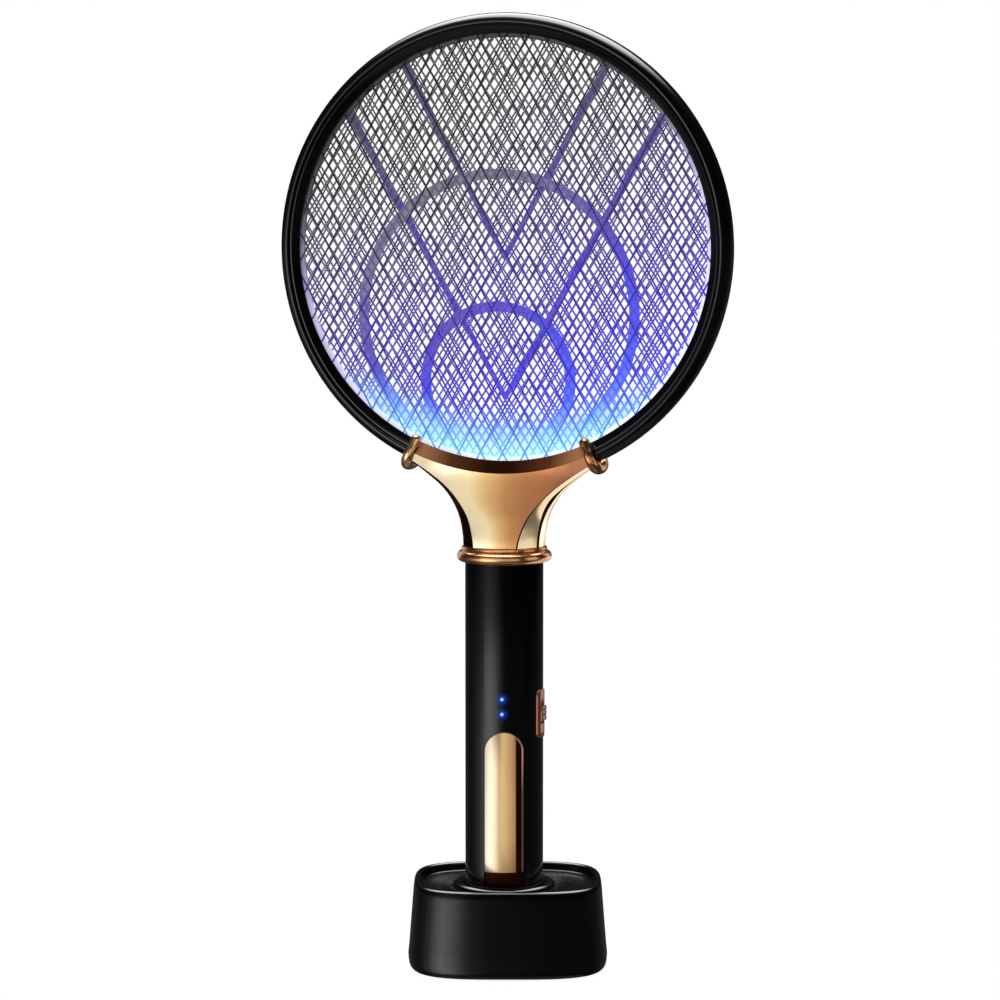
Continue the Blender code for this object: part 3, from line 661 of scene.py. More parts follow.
def wire_net(name, depth, width, height, wire_r, shift, seed):
    """Two crossing sets of nearly straight wires, cut off under the hoop's lip, in a flat rim."""
    dice = random.Random(seed)
    bm = bmesh.new()
    lean = math.atan2(width, height)
    pitch = width * height / math.hypot(width, height)
    reach = MESH_R + 1.6
    for side in (-1, 1):
        along = Vector((side * math.sin(lean), math.cos(lean)))
        across = Vector((along.y, -along.x))
        count = int(reach / pitch) + 1
        for i in range(-count, count + 1):
            offset = (i + shift) * pitch + dice.uniform(-WAVER, WAVER)
            if abs(offset) > reach - 1:
                continue
            half = math.sqrt(reach * reach - offset * offset)
            steps = max(2, int(half / 9))
            path = []
            for k in range(steps + 1):
                bend = dice.uniform(-WAVER, WAVER) * 0.6
                point = across * (offset + bend) + along * half * (2 * k / steps - 1)
                path.append((point.x, point.y, depth + side * wire_r * 0.9))
            tube(bm, path, [wire_r] * (steps + 1), 6, False)
    front, rear = depth + 0.3, depth - 0.3
    turned_skin(bm, [(RIM_R, front), (RIM_R, rear), (MESH_R + 1.2, rear), (MESH_R + 1.2, front)],
                RIM_STEPS)
    return make(name, bm, HOOP_PLACE)


def nets(guard_look, live_look, milky_look, glow_sheet_look):
    """Three meshes, the milky ring that spaces them and a sheet of painted lamp glow over the lamps."""
    front_depth = AXIS_Y - middle_mm("front_guard_mesh").y
    front = wire_net("guard_net_front", front_depth, *GUARD_OPENING, 0.40, 0.0, 3)
    place_piece(front, "racket", "mesh_wire", guard_look, "front_guard_mesh")
    rear = wire_net("guard_net_rear", -front_depth, *GUARD_OPENING, 0.36, 0.24, 5)
    place_piece(rear, "racket", "mesh_wire", guard_look, "rear_guard_mesh")
    fine = wire_net("live_net", 0.0, *LIVE_OPENING, 0.45, 0.35, 11)
    place_piece(fine, "racket", "mesh_wire", live_look, "high_voltage_mesh")
    inner = MESH_R - 1.5
    section = [(RIM_R, 0.8), (RIM_R, 2.6), (inner, 2.6), (inner - 0.3, 2.2), (inner - 0.3, 1.2),
               (inner, 0.8)]
    ring = turned("spacer", section, HOOP_STEPS, HOOP_PLACE)
    place_piece(ring, "racket", "rib_plastic", milky_look, "front_spacer_ring")
    bm = bmesh.new()
    rings = []
    for i in range(97):
        aside = i / 48 - 1
        angle = math.radians(-90 + 78 * aside)
        outer, inner = MESH_R + 1, MESH_R - 1.0 - 27 * math.cos(aside * math.pi / 2)
        rings.append([(r * math.cos(angle), r * math.sin(angle), z)
                      for r, z in ((outer, -0.62), (outer, -0.72), (inner, -0.72), (inner, -0.62))])
    skin(bm, rings)
    place_piece(make("painted_glow_sheet", bm, HOOP_PLACE), "racket", "rib_plastic", glow_sheet_look)


ROUND_RIBS = ((65.5, -31.0), (35.0, -62.0))    # radius, height of the centre over the hoop's
ROUND_RIB_SHIFT = -3.6                         # their centres lie a little to the left
V_RIBS = (((50.0, 87.0), -3.0, -1.55), ((77.0, 64.5), -68.0, -1.65))   # upper end, apex height, depth
RIB_SIDES = 12


def rib_section(half_width, half_depth):
    """A rectangle with full round corners, as (across, deep)."""
    points = []
    for k in range(RIB_SIDES):
        angle = 2 * math.pi * k / RIB_SIDES
        across, deep = math.cos(angle), math.sin(angle)
        points.append((half_width * math.copysign(abs(across) ** 0.5, across),
                       half_depth * math.copysign(abs(deep) ** 0.5, deep)))
    return points


def ribs(look, arm_look):
    """Rib frame behind the live mesh: outer ring, two round ribs and two V-shaped ribs."""
    bm = bmesh.new()
    for radius, height in ROUND_RIBS:
        rings = []
        for i in range(144):
            angle = 2 * math.pi * i / 144
            section = [(radius + across, deep) for across, deep in rib_section(2.5, 0.6)]
            rings.append([(ROUND_RIB_SHIFT + r * math.cos(angle), height + r * math.sin(angle), deep - 1.6)
                          for r, deep in section])
        skin(bm, rings, True)
    turned_skin(bm, [(RIM_R, -0.75), (RIM_R, -2.6), (MESH_R + 0.6, -2.6), (MESH_R + 0.6, -0.75)], RIM_STEPS)
    place_piece(make("rib_rings", bm, HOOP_PLACE), "racket", "rib_plastic", look, "support_rib_frame")
    bm = bmesh.new()
    for top, apex, depth in V_RIBS:
        for side in (-1, 1):
            start, end = Vector((side * top[0], top[1])), Vector((-side * 0.4, apex - 2.0))
            along = (end - start).normalized()
            out = Vector((-along.y, along.x))
            rings = [[((point + out * across).x, (point + out * across).y, depth + deep)
                      for across, deep in rib_section(half_width, 0.5)]
                     for point, half_width in ((start - along * 3, 2.1), (end, 1.2))]
            skin(bm, rings)
    place_piece(make("rib_arms", bm, HOOP_PLACE), "racket", "rib_plastic", arm_look)


def collars(look):
    """C-shaped gold beads that end the neck on each side, with a ball at each tip."""
    # radius from the hoop's centre, distance in front of its middle, the bead's own radius
    half = [(98.3, 7.6, 2.75), (99.9, 8.3, 2.5), (101.6, 9.3, 2.05), (103.8, 10.1, 2.15),
            (106.2, 9.9, 2.45), (108.4, 8.6, 2.8), (110.0, 6.6, 2.9), (110.9, 4.2, 2.9), (111.2, 1.6, 2.9)]
    path = smooth_path(half + [(r, -y, thick) for r, y, thick in reversed(half)], 5)
    for node in ("left_collar", "right_collar"):
        middle = middle_mm(node)
        angle = math.atan2(middle.x, HOOP_Z - middle.z)
        bm = bmesh.new()
        tube(bm, [(0, y, -r) for r, y, thick in path], [thick for r, y, thick in path], 24)
        place = Matrix.Translation(vec(0, AXIS_Y, HOOP_Z)) @ Matrix.Rotation(-angle, 4, "Y")
        place_piece(make("bead_" + node, bm, place), "racket", "copper_gold", look, node)


# ---- neck

# height above the neck's foot, half width, half width of the front facet, its depth, flank bulge
NECK_SECTIONS = (
    (0.0, 18.9, 10.2, 16.6, 0.3), (5.5, 19.3, 11.4, 16.0, 0.3), (13.0, 21.0, 14.2, 14.3, 0.3),
    (19.5, 24.0, 18.7, 12.5, 0.3), (26.0, 28.8, 24.8, 10.9, 0.3), (32.0, 35.8, 32.4, 9.8, 0.2),
    (39.0, 46.0, 43.2, 9.3, 0.1), (50.5, 66.0, 63.0, 9.3, 0.1))
NECK_FOOT_Z = ring_high.z + 0.3
SPIGOT_FOOT_Z = box_mm("neck_front_shell")[0].z
WALL = 1.8
WEDGE_DEG = 23.1     # half the angle that the neck takes up round the hoop
FACET_SHIFT = 1.7    # how far the left edge of the front facet lies towards the right, higher up


def neck_ring_points(z, half_width, facet, depth, bulge, inset):
    """One section: side strip, groove, flank, fine groove, and a slightly crowned front facet.

    Returns the points and, for each, whether it is the bottom of a groove.
    """
    half_width, facet, depth = half_width - inset, facet - inset * 0.6, depth - inset
    side = Vector((half_width - 0.5, depth * 0.32))
    edge = Vector((facet, depth))
    along = (edge - side).normalized()
    inward = Vector((-along.y, along.x))
    if inward.dot(side) > 0:
        inward.negate()
    fade = min(1.0, max(0.1, (36.0 - z) / 14.0))
    broad = fade * (1.6 + 1.5 * math.exp(-((z - 22) / 8) ** 2))
    fine = min(1.0, (edge - side).length / 5)
    quarter = [(Vector((half_width, 0.0)), False), (Vector((half_width - 0.15, side.y * 0.5)), False),
               (side, False), (side + along * 0.5 * broad + inward * 0.7 * fade, True)]
    start, end = side + along * broad, edge - along * 0.95 * fine
    for i in range(6):
        t = i / 5
        quarter.append((start + (end - start) * t - inward * 4 * t * (1 - t) * bulge, False))
    quarter += [(edge - along * 0.5 * fine + inward * 0.45 * fine, True), (edge, False)]
    for i in range(1, 9):
        t = i / 8
        quarter.append((Vector((facet * (1 - t), depth + 0.5 * (1 - (1 - t) ** 2))), False))
    shift = FACET_SHIFT * min(1.0, max(0.0, z / 28.0))
    left = []
    for point, mark in reversed(quarter[:-1]):
        push = shift if point.y > depth - 0.6 else shift * 0.5
        if point.y <= side.y + 0.5:
            push = 0.0
        left.append((Vector((-point.x + push * min(1.0, point.x / facet), point.y)), mark))
    front = quarter + left
    rear = [(Vector((p.x, -p.y)), mark) for p, mark in reversed(front[1:-1])]
    ring = front + rear
    return [(p.x, AXIS_Y - p.y, NECK_FOOT_Z + z) for p, mark in ring], [mark for p, mark in ring]


def neck_body(name, look, groove_shade_look):
    """The whole flared neck, hollow and cut round the hoop, before it is parted."""
    sections = smooth_path(NECK_SECTIONS, 6)
    marks = neck_ring_points(*sections[0], 0.0)[1]
    bm = bmesh.new()
    skin(bm, [neck_ring_points(*s, 0.0)[0] for s in sections], False, marks)
    body = make(name, bm)
    body.data.materials.append(look)
    # the second material paints shade into the grooves and creases
    body.data.materials.append(groove_shade_look)
    spigot_foot = SPIGOT_FOOT_Z - NECK_FOOT_Z
    spigot = [(15.5, 2.0), (15.5, spigot_foot), (0.0, spigot_foot), (0.0, 2.0)]
    foot = Matrix.Translation(vec(0, AXIS_Y, NECK_FOOT_Z))
    combine(body, turned("spigot", spigot, 64, foot), "UNION")
    bm = bmesh.new()
    inner = [s for s in sections if WALL < s[0] < 32]
    skin(bm, [neck_ring_points(*s, WALL)[0] for s in inner])
    combine(body, make("hollow", bm))
    combine(body, turned("bore", [(13.6, 4.0), (13.6, -30.0), (0.0, -30.0), (0.0, 4.0)], 64, foot))
    opening = [(0, 25), (104.6, 25), (MESH_R + 5.3, 9.3), (MESH_R - 0.3, 5.3),
               (MESH_R - 0.3, -5.3), (MESH_R + 5.3, -9.3), (104.6, -25), (0, -25)]
    combine(body, turned("opening", opening, HOOP_STEPS, HOOP_PLACE))
    half = [(98.4, 4.4), (99.2, 4.85), (102.3, 7.0), (103.4, 7.55), (104.9, 7.75),
            (106.9, 6.7), (108.3, 4.8), (108.85, 2.2)]
    groove = half + [(r, -y) for r, y in reversed(half)]
    combine(body, turned("groove", groove, HOOP_STEPS, HOOP_PLACE))
    spread = math.tan(math.radians(WEDGE_DEG)) * 170
    wedge = prism("wedge", [(0, 0), (-spread, -170), (spread, -170)], -30, 30, HOOP_PLACE)
    return combine(body, wedge, "INTERSECT")


def neck(look, groove_shade_look, ring_look):
    body = neck_body("neck_front", look, groove_shade_look)
    rear = add_object("neck_rear", body.data.copy())
    shells = ((body, -30, -0.15, "neck_front_shell"), (rear, 0.15, 30, "neck_rear_shell"))
    for shell, low, high, node in shells:
        combine(shell, block("half", (-80, AXIS_Y + low, 170), (80, AXIS_Y + high, 260)), "INTERSECT")
        shade(shell, 24)
        place_piece(shell, "racket", "rose_gold", look, node)
    bead_r, bead_z, bead = 19.6, NECK_FOOT_Z - 4.8, 2.6
    top = ring_high.z
    arc = [(bead_r + bead * math.cos(math.radians(a)), bead_z + bead * math.sin(math.radians(a)))
           for a in range(64, -97, -6)]
    lip = [(15.9, top), (19.2, top), (19.7, top - 0.15), (20.0, top - 0.55), (20.05, top - 1.0),
           (19.8, top - 1.5), (19.4, top - 1.8)]
    foot = [(18.5, ring_low.z + 0.3), (18.4, ring_low.z), (15.9, ring_low.z)]
    ring = turned("neck_bead", lip + arc + foot, 160, HANDLE_AXIS, 28)
    place_piece(ring, "racket", "copper_gold", ring_look, "neck_ring")


# ---- handle

def handle(look):
    """One-piece sleeve with the trigger's slot, two lamp holes and the switch's window."""
    top, bottom, bore = sleeve_high.z, sleeve_low.z, 16.3
    profile = [(bore, top), (HANDLE_R - 0.4, top), (HANDLE_R - 0.1, top - 0.12), (HANDLE_R, top - 0.45),
               (HANDLE_R, bottom + 0.3), (HANDLE_R - 0.3, bottom), (bore, bottom)]
    sleeve = turned("grip_sleeve", profile, 200, HANDLE_AXIS)
    slot = stadium(PLATE_HALF_WIDTH + 0.35, PLATE_BOTTOM_Z - 0.35, PLATE_TOP_Z + 0.35)
    combine(sleeve, prism("slot", slot, 10, 24, side_matrix(TRIM_DEG) @ FACING))
    for node in LAMPS.values():
        place = side_matrix(LAMP_DEG, middle_mm(node).z) @ FACING
        combine(sleeve, turned("hole", [(0, 24), (1.6, 24), (1.6, 10), (0, 10)], 32, place))
    window = rounded_box(5.0, 11.6, 2.7)
    combine(sleeve, prism("window", window, 10, 24, side_matrix(SWITCH_DEG, SWITCH_Z) @ FACING))
    shade(sleeve)
    place_piece(sleeve, "racket", "gloss_black", look, "handle_sleeve")


def trigger(look, recess_shade_look, edge_look):
    """Press plate: a raised face with an arched top, a step painted dark brown as shade and a fine pink
    edge with a painted highlight on its right.
    """
    low, high, foot = PLATE_BOTTOM_Z, PLATE_TOP_Z, PLATE_BOTTOM_Z + 6.2
    arch = stadium(PLATE_HALF_WIDTH, foot, high, 40)
    base = curved_plate("plate_step", stadium(PLATE_HALF_WIDTH, low, high), 15.0, 17.7, 0.0, TRIM_DEG)
    flange = stadium(PLATE_HALF_WIDTH + 1.2, low - 1.2, high + 1.2)
    combine(base, curved_plate("flange", flange, 14.6, 15.9, 0.0, TRIM_DEG), "UNION")
    shade(base)
    place_piece(base, "trigger", "copper_gold", recess_shade_look)
    place = side_matrix(TRIM_DEG)
    face = curved_plate("press_plate", arch, 16.6, 19.0, 0.0, TRIM_DEG)
    combine(face, block("cut", (5.6, -30, 0), (20, 0, 200), place))
    bevel(face, 0.5, 3)
    place_piece(face, "trigger", "rose_gold", look, "trigger_plate")
    rim = curved_plate("plate_edge", arch, 16.6, 18.2, 0.0, TRIM_DEG)
    inner = stadium(PLATE_HALF_WIDTH - 0.75, foot - 5, high - 0.75, 40)
    combine(rim, prism("inner", inner, 8, 24, place @ FACING))
    combine(rim, block("cut", (-20, -30, 0), (5.9, 0, 200), place))
    bevel(rim, 0.2, 2)
    place_piece(rim, "trigger", "copper_gold", edge_look)


def indicator_lamps(look):
    dome = [(0.8 * math.sin(math.radians(a)), 18.0 + 0.35 * math.cos(math.radians(a)))
            for a in range(0, 91, 10)]
    for label, node in LAMPS.items():
        lens = turned(f"lamp_{label}", dome + [(1.25, 17.95), (1.25, 10.2), (0, 10.2)], 40,
                      side_matrix(LAMP_DEG, middle_mm(node).z) @ FACING, 50)
        place_piece(lens, "racket", "lamp_lens", look, node)


def mode_switch(look):
    """Slide switch: curved bezel with a slot, and a knob with three grip ridges."""
    bezel = curved_plate("switch_frame", rounded_box(4.7, 11.3, 2.4), 16.9, 19.0, SWITCH_Z, SWITCH_DEG)
    place = side_matrix(SWITCH_DEG, SWITCH_Z)
    combine(bezel, prism("slot", rounded_box(2.0, 5.1, 1.0), 10, 24, place @ FACING))
    bevel(bezel, 0.3, 2)
    place_piece(bezel, "racket", "copper_gold", look, "mode_switch_bezel")
    knob = block("slider_knob", (-3.2, -19.75, -3.4), (3.2, -19.3, 3.4), place)
    added = [("ridge", (-3.0, -20.05, z - 0.6), (3.0, -19.5, z + 0.6)) for z in (-2.4, 0.0, 2.4)]
    added.append(("stem", (-1.6, -19.8, -2.2), (1.6, -15.4, 2.2)))
    added.append(("shoe", (-2.9, -15.6, -5.0), (2.9, -14.6, 5.0)))
    for part in added:
        combine(knob, block(*part, place), "UNION")
    bevel(knob, 0.18, 2)
    place_piece(knob, "mode_slider", "copper_gold", look, "mode_switch_knob")


def end_cap(look, contact_look):
    low, high = box_mm("handle_end_cap")
    profile = [(0, low.z + 8), (15.9, low.z + 8), (15.9, low.z + 2.6), (HANDLE_R - 0.3, low.z + 2.6),
               (HANDLE_R, low.z + 2.3), (HANDLE_R, low.z + 1.0), (HANDLE_R - 0.3, low.z + 0.3),
               (HANDLE_R - 1.0, low.z), (0, low.z)]
    cap = turned("foot_cap", profile, 128, HANDLE_AXIS)
    for side in ("left", "right"):
        pad_low, pad_high = box_mm(f"charge_contact_{side}")
        middle = (pad_low + pad_high) / 2
        place = Matrix.Translation(vec(middle.x, middle.y, 0))
        combine(cap, turned("hole", [(0, 30), (2.9, 30), (2.9, 10), (0, 10)], 40, place))
        pad = [(0, pad_high.z), (1.0, pad_high.z), (1.0, pad_low.z + 1.6), (2.6, pad_low.z + 1.6),
               (2.6, pad_low.z + 0.3), (2.3, pad_low.z), (0, pad_low.z)]
        place_piece(turned(f"pad_{side}", pad, 40, place), "racket", "brass", contact_look,
                    f"charge_contact_{side}")
    shade(cap)
    place_piece(cap, "racket", "gloss_black", look, "handle_end_cap")


# ---- dock

DOCK_A = 47.0                  # half width and half depth at the foot
DOCK_B = 42.0
DOCK_TURN = math.radians(16)   # turned this far from the racket
DOCK_POWER = 3.4               # superellipse power of the footprint
DOCK_STEPS = 216
SOCKET_R = 18.7
INLET_Z = 8.6


def footprint(inset, z):
    points = []
    for i in range(DOCK_STEPS):
        angle = 2 * math.pi * i / DOCK_STEPS
        c, s = math.cos(angle), math.sin(angle)
        x = math.copysign(abs(c) ** (2 / DOCK_POWER), c) * (DOCK_A - inset)
        y = math.copysign(abs(s) ** (2 / DOCK_POWER), s) * (DOCK_B - inset)
        points.append((x * math.cos(DOCK_TURN) - y * math.sin(DOCK_TURN),
                       x * math.sin(DOCK_TURN) + y * math.cos(DOCK_TURN), z))
    return points


def dock(look):
    """One skin: rounded foot, tapering wall, round rim, sunk top and a raised lip round the socket."""
    floor = RIM_TOP_Z - 4.0
    foot = smooth_path([(2.9, 0.25), (1.8, 0.6), (0.8, 1.7), (0.25, 3.5), (0.0, 6.4)], 4)
    wall = [(0.55, 12.0), (1.1, 19.0), (1.9, 29.0), (2.55, 37.3)]
    rim = smooth_path([(2.7, 38.8), (3.05, 40.0), (3.8, 40.8), (4.8, RIM_TOP_Z), (5.7, 40.65), (6.2, 39.7),
                       (6.45, 38.2), (6.8, floor + 0.3), (7.4, floor)], 4)
    lip = smooth_path([(25.6, floor), (25.1, floor + 0.25), (24.7, floor + 1.6), (23.9, floor + 2.8),
                       (22.4, floor + 3.4), (20.6, floor + 3.3), (19.3, floor + 2.7),
                       (SOCKET_R, floor + 1.6)], 4)
    bore = [(SOCKET_R, 12.3), (16.5, 12.3), (16.5, 11.1), (20.9, 11.1), (20.9, floor - 2.2)]
    inner = [(5.2, floor - 2.2), (2.8, 9.0), (4.2, 5.4), (7.6, 4.6), (7.6, 1.0)]
    rings = [footprint(*p) for p in foot + wall + rim]
    rings += [circle(radius, DOCK_STEPS, z, (0.0, AXIS_Y)) for radius, z in lip + bore]
    rings += [footprint(*p) for p in inner]
    bm = bmesh.new()
    skin(bm, rings, True)
    body = make("dock_shell", bm)
    place = Matrix.Rotation(DOCK_TURN, 4, "Z") @ Matrix.Translation(vec(0, 0, INLET_Z))
    mouth = prism("mouth", rounded_box(5.0, 2.1, 1.6), -45, -30, place @ FACING)
    combine(body, mouth)
    shade(body, 40)
    place_piece(body, "dock", "gloss_black", look, "dock_housing")


def dock_feet(look, screw_look):
    for number in range(1, 5):
        middle = middle_mm(f"dock_foot_{number}")
        top = box_mm(f"dock_foot_{number}")[1].z
        profile = [(0, top), (4.8, top), (5.0, top - 0.2), (5.0, 0.5), (4.8, 0.15), (4.4, 0), (0, 0)]
        foot = turned(f"rubber_foot_{number}", profile, 48, Matrix.Translation(vec(middle.x, middle.y, 0)))
        place_piece(foot, "dock", "rubber", look, f"dock_foot_{number}")
    upside_down = Matrix.Rotation(math.pi, 4, "X")
    for number in (1, 2):
        node = f"dock_screw_{number}"
        middle = middle_mm(node)
        place = Matrix.Translation(vec(middle.x, middle.y, box_mm(node)[0].z + 0.7)) @ upside_down
        place_piece(screw_head(f"screw_dock_{number}", 2.4, place), "dock", "steel", screw_look, node)


# ---- carried-over nodes

def finish_nodes(looks):
    """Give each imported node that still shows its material."""
    slots = {s["node"]: s["material_slot"] for s in frame["record"]["subparts"]}
    for name, obj in frame["nodes"].items():
        obj.data.materials.clear()
        obj.data.materials.append(looks[slots[name]])


# ---- stage

# The camera, in metres.
AZIMUTH = math.radians(16.0)    # from the racket's front, towards its right side
TILT = math.radians(5.5)        # downwards
DISTANCE = 1.674                # from the handle's axis
EYE_Z = 0.3818
SIDESTEP = -0.0020
FOCAL = 129.6                   # in millimetres


def camera():
    data = bpy.data.cameras.new("camera")
    data.lens = FOCAL
    data.sensor_width = 36.0
    data.clip_start = 0.05
    eye = add_object("camera", data)
    right = Vector((math.cos(AZIMUTH), math.sin(AZIMUTH), 0))
    back = Vector((math.sin(AZIMUTH), -math.cos(AZIMUTH), 0))
    eye.location = Vector((0, AXIS_Y * MM, EYE_Z)) + back * DISTANCE + right * SIDESTEP
    eye.rotation_euler = (math.pi / 2 - TILT, 0, AZIMUTH)
    bpy.context.scene.camera = eye


def area_light(name, angle_deg, distance, height, size, radiance, aim_z, only):
    """A softbox round the object; its angle runs from the camera's side, positive to the right."""
    data = bpy.data.lights.new(name, "AREA")
    data.shape = "RECTANGLE"
    data.size, data.size_y = size
    data.energy = radiance * math.pi * size[0] * size[1]
    lamp = add_object(name, data)
    angle = AZIMUTH + math.radians(angle_deg)
    lamp.location = (math.sin(angle) * distance, -math.cos(angle) * distance, height)
    aim = Vector((0, 0, aim_z)) - lamp.location
    lamp.rotation_euler = aim.to_track_quat("-Z", "Y").to_euler()
    if only:
        lamp.light_linking.receiver_collection = only


# Brightness of the room round the object, by angle in degrees from the camera's side.
ROOM = ((-180, 0.02), (-160, 0.06), (-140, 0.05), (-118, 0.04), (-98, 0.12), (-77, 0.50), (-60, 1.6),
        (-45, 2.5), (-28, 1.7), (-13, 0.34), (0, 0.06), (22, 0.05), (50, 0.05), (110, 0.05),
        (140, 0.06), (160, 0.06), (180, 0.02))


def room():
    """A dark studio with broad soft lights at the left front and overhead; the camera sees white."""
    world = bpy.data.worlds.new("studio")
    world.use_nodes = True
    bpy.context.scene.world = world
    n = Graph(world.node_tree)
    look = n.add("ShaderNodeTexCoord").outputs["Generated"]
    side = n.dot(look, (math.cos(AZIMUTH), math.sin(AZIMUTH), 0))
    front = n.dot(look, (math.sin(AZIMUTH), -math.cos(AZIMUTH), 0))
    turn = n.span(n.math("ARCTAN2", side, front), -math.pi, math.pi)
    round_about = n.ramp(turn, grey_stops(*(((angle + 180) / 360, level) for angle, level in ROOM)))
    rise = n.dot(look, (0, 0, 1))
    level = n.ramp(n.span(rise, -1, 1), grey_stops((0.12, 0), (0.24, 1), (0.485, 1), (0.53, 0.16),
                                                   (0.8, 0.06), (1.0, 0.05)))
    below = n.math("MULTIPLY", n.smooth(rise, -0.72, -0.9), 0.2)
    above = n.dot(look, (-0.34 * math.sin(AZIMUTH), 0.34 * math.cos(AZIMUTH), 0.94))
    above = n.math("MULTIPLY", n.smooth(above, 0.74, 0.95), 9.5)
    total = n.math("ADD", n.math("ADD", n.math("MULTIPLY", round_about, level), below), above)
    room_light = n.add("ShaderNodeBackground")
    n.link(total, room_light.inputs["Color"])
    white = n.add("ShaderNodeBackground", Color=(1, 1, 1, 1))
    mixed = n.add("ShaderNodeMixShader")
    n.link(n.add("ShaderNodeLightPath").outputs["Is Camera Ray"], mixed.inputs["Fac"])
    n.link(room_light.outputs[0], mixed.inputs[1])
    n.link(white.outputs[0], mixed.inputs[2])
    n.link(mixed.outputs[0], world.node_tree.nodes["World Output"].inputs["Surface"])


# Name, angle, distance, height, size, radiance, height that it aims at, what alone it lights.
LIGHTS = (
    ("over", 0, 0.2, 1.6, (0.9, 0.9), 0.9, 0.0, None),
    ("neck_left", -34, 1.5, 0.45, (1.4, 1.2), 0.70, 0.2, neck_parts),
    ("gold_front", 12, 1.4, 0.15, (1.3, 1.4), 0.66, 0.2, gilded),
    ("gold_flank", 72, 1.2, 0.35, (0.7, 1.0), 0.9, 0.25, gilded),
    ("neck_low", 135, 0.9, -0.4, (1.3, 1.1), 0.9, 0.25, neck_parts),
    ("gold_edge", 136, 1.2, 0.35, (0.5, 1.0), 0.9, 0.25, gilded),
    ("gold_back", -150, 1.4, 0.35, (0.9, 1.0), 0.6, 0.25, gilded))


def stage():
    """Pale floor that melts into white surroundings, and the lights."""
    n = Nodes("floor_white")
    n.set(Base_Color=(0.9, 0.9, 0.9, 1), Roughness=0.9)
    glow = n.add("ShaderNodeEmission", Color=(1, 1, 1, 1), Strength=1.0)
    mix = n.add("ShaderNodeMixShader")
    n.link(n.span(n.distance((0, 0, 0)), 0.04, 0.16, 0.95, 1.0), mix.inputs["Fac"])
    n.link(n.shader.outputs[0], mix.inputs[1])
    n.link(glow.outputs[0], mix.inputs[2])
    n.link(mix.outputs[0], n.tree.nodes["Material Output"].inputs["Surface"])
    bm = bmesh.new()
    bmesh.ops.create_circle(bm, cap_ends=True, radius=14.0, segments=96)
    floor = make("floor", bm)
    floor.data.materials.append(n.material)
    floor.visible_glossy = False
    floor.visible_diffuse = False
    floor.visible_shadow = False
    room()
    for light in LIGHTS:
        area_light(*light)
    bpy.context.scene.view_settings.view_transform = "Standard"


# ---- colours

# Plating with painted reflections, from the left edge to the right: the colours carry the light falling
# from the left and deepen towards the right.
NECK_GOLD = ((0.0, (0.3, 0.25, 0.17)), (0.17, (0.68, 0.58, 0.4)), (0.31, (0.82, 0.66, 0.37)),
             (0.42, (0.68, 0.42, 0.17)), (0.54, (0.5, 0.24, 0.09)), (0.67, (0.41, 0.17, 0.07)),
             (0.83, (0.35, 0.14, 0.06)), (0.97, (0.2, 0.085, 0.04)))
PLATE_GOLD = ((0.05, (0.48, 0.41, 0.32)), (0.32, (0.52, 0.43, 0.28)), (0.63, (0.72, 0.46, 0.2)),
              (0.9, (0.46, 0.25, 0.12)))
COPPER = ((0.0, (0.85, 0.5, 0.27)), (0.5, (0.72, 0.36, 0.17)), (1.0, (0.56, 0.24, 0.1)))
# a darker copy of the copper: painted shade for the switch on the handle's side
COPPER_PAINTED_SHADE = ((0.0, (0.32, 0.12, 0.07)), (1.0, (0.2, 0.08, 0.05)))
# pink for the plate's fine edge: a painted highlight
PINK_PAINTED_HIGHLIGHT = ((0.0, (0.4, 0.22, 0.2)), (1.0, (0.36, 0.19, 0.17)))

# Wires and ribs with painted lamp light, from the foot of the mesh to its top, and how strongly the painted
# glow shines there.
GUARD_WIRE = ((0.0, (0.07, 0.06, 0.55)), (0.2, (0.06, 0.04, 0.46)), (0.45, (0.06, 0.04, 0.28)),
              (0.66, (0.06, 0.05, 0.13)), (0.8, (0.05, 0.049, 0.06)), (1.0, (0.045, 0.045, 0.05)))
GUARD_GLOW = ((0.0, 0.6), (0.4, 0.6), (0.7, 0.4), (0.95, 0.25))
LIVE_WIRE = ((0.0, (0.10, 0.12, 0.72)), (0.2, (0.13, 0.11, 0.56)), (0.45, (0.16, 0.14, 0.40)),
             (0.66, (0.18, 0.17, 0.26)), (0.8, (0.17, 0.17, 0.19)), (1.0, (0.16, 0.16, 0.165)))
LIVE_GLOW = ((0.0, 0.7), (0.4, 0.6), (0.7, 0.5), (0.95, 0.45))
ROUND_RIB = ((0.0, (0.1, 0.16, 0.9)), (0.25, (0.07, 0.07, 0.74)), (0.42, (0.1, 0.07, 0.5)),
             (0.6, (0.2, 0.19, 0.3)), (0.8, (0.2, 0.2, 0.24)), (1.0, (0.12, 0.1, 0.2)))
ROUND_RIB_GLOW = ((0.0, 0.75), (0.4, 0.7), (0.7, 0.7), (0.95, 0.6))
V_RIB = ((0.0, (0.06, 0.05, 0.7)), (0.3, (0.07, 0.045, 0.5)), (0.55, (0.09, 0.055, 0.42)),
         (0.8, (0.10, 0.075, 0.28)), (1.0, (0.10, 0.08, 0.22)))
V_RIB_GLOW = ((0.0, 0.75), (0.4, 0.7), (0.7, 0.6), (0.95, 0.5))


# ---- build

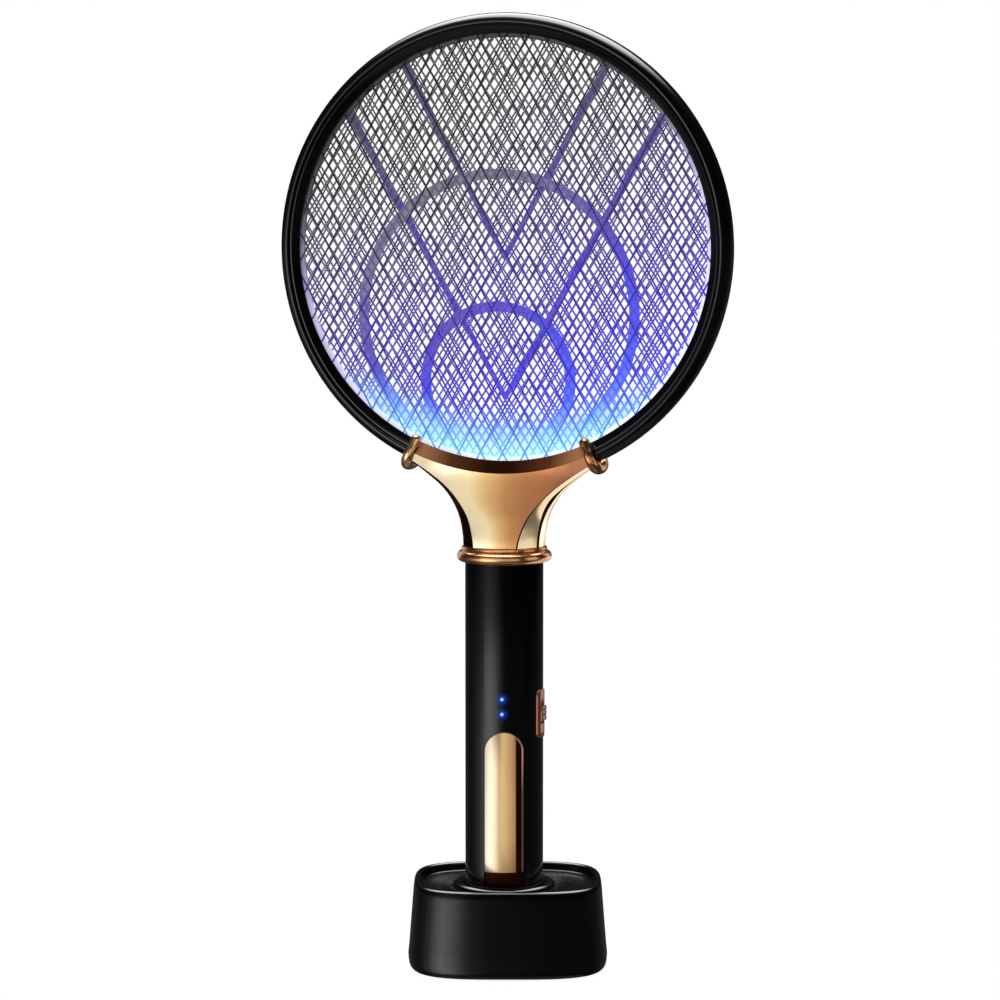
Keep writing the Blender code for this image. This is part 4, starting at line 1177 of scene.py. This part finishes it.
spill = [side_matrix(LAMP_DEG) @ vec(0, -HANDLE_R, middle_mm(node).z) for node in LAMPS.values()]
black = gloss_black()
# the sleeve's black with a painted blue glow round the lamps
black_painted_glow = gloss_black("gloss_black_painted_glow", spill)
gold = plated("rose_gold", NECK_GOLD, -36.0, 36.0, 0.1, True)
plate_gold = plated("plate_gold", PLATE_GOLD, -4.0, 11.0, 0.25)
copper = plated("copper_gold", COPPER, -40.0, 40.0, 0.03)
copper_painted_shade = plated("copper_painted_shade", COPPER_PAINTED_SHADE, 14.0, 20.0, 0.2)
pink_painted_highlight = plated("pink_painted_highlight", PINK_PAINTED_HIGHLIGHT, -9.0, 9.0, 0.2)
# dark brown painted shade for the neck's grooves and the plate's recess
crease_shade = metal("dark_crease_shade", (0.035, 0.008, 0.003), 0.4)
guard = lit_wire("guard_wire", GUARD_WIRE, (0.12, 0.32, 0.62), GUARD_GLOW, 0.5, 0.2)
live = lit_wire("live_wire", LIVE_WIRE, (0.2, 0.5, 0.72), LIVE_GLOW, 0.5, 0.2)
rib = lit_wire("rib_plastic", ROUND_RIB, (0.24, 0.52, 0.8), ROUND_RIB_GLOW, 0.0, 0.3)
arm = lit_wire("rib_arm", V_RIB, (0.24, 0.52, 0.8), V_RIB_GLOW, 0.0, 0.1)
looks = {
    "gloss_black": black, "rose_gold": gold, "copper_gold": copper, "mesh_wire": guard,
    "rib_plastic": rib, "lamp_lens": lamp_lens(spill), "circuit_board": board_green(),
    "black_plastic": matt_plastic("black_plastic", (0.02, 0.02, 0.022)),
    "rubber": matt_plastic("rubber", (0.012, 0.012, 0.012), 0.8),
    "steel": metal("steel", (0.6, 0.6, 0.62)), "brass": metal("brass", (0.9, 0.66, 0.3), 0.25),
    "battery_wrap": matt_plastic("battery_wrap", (0.05, 0.14, 0.4), 0.4),
    "lead_red": matt_plastic("lead_red", (0.45, 0.02, 0.02), 0.45),
}
finish_nodes(looks)
camera()
stage()
hoop(black)
hoop_screws(looks["steel"])
nets(guard, live, milky_ring(), painted_lamp_glow())
ribs(rib, arm)
collars(copper)
neck(gold, crease_shade, copper)
handle(black_painted_glow)
trigger(plate_gold, crease_shade, pink_painted_highlight)
indicator_lamps(looks["lamp_lens"])
mode_switch(copper_painted_shade)
end_cap(black, looks["brass"])
dock(black)
dock_feet(looks["rubber"], looks["steel"])
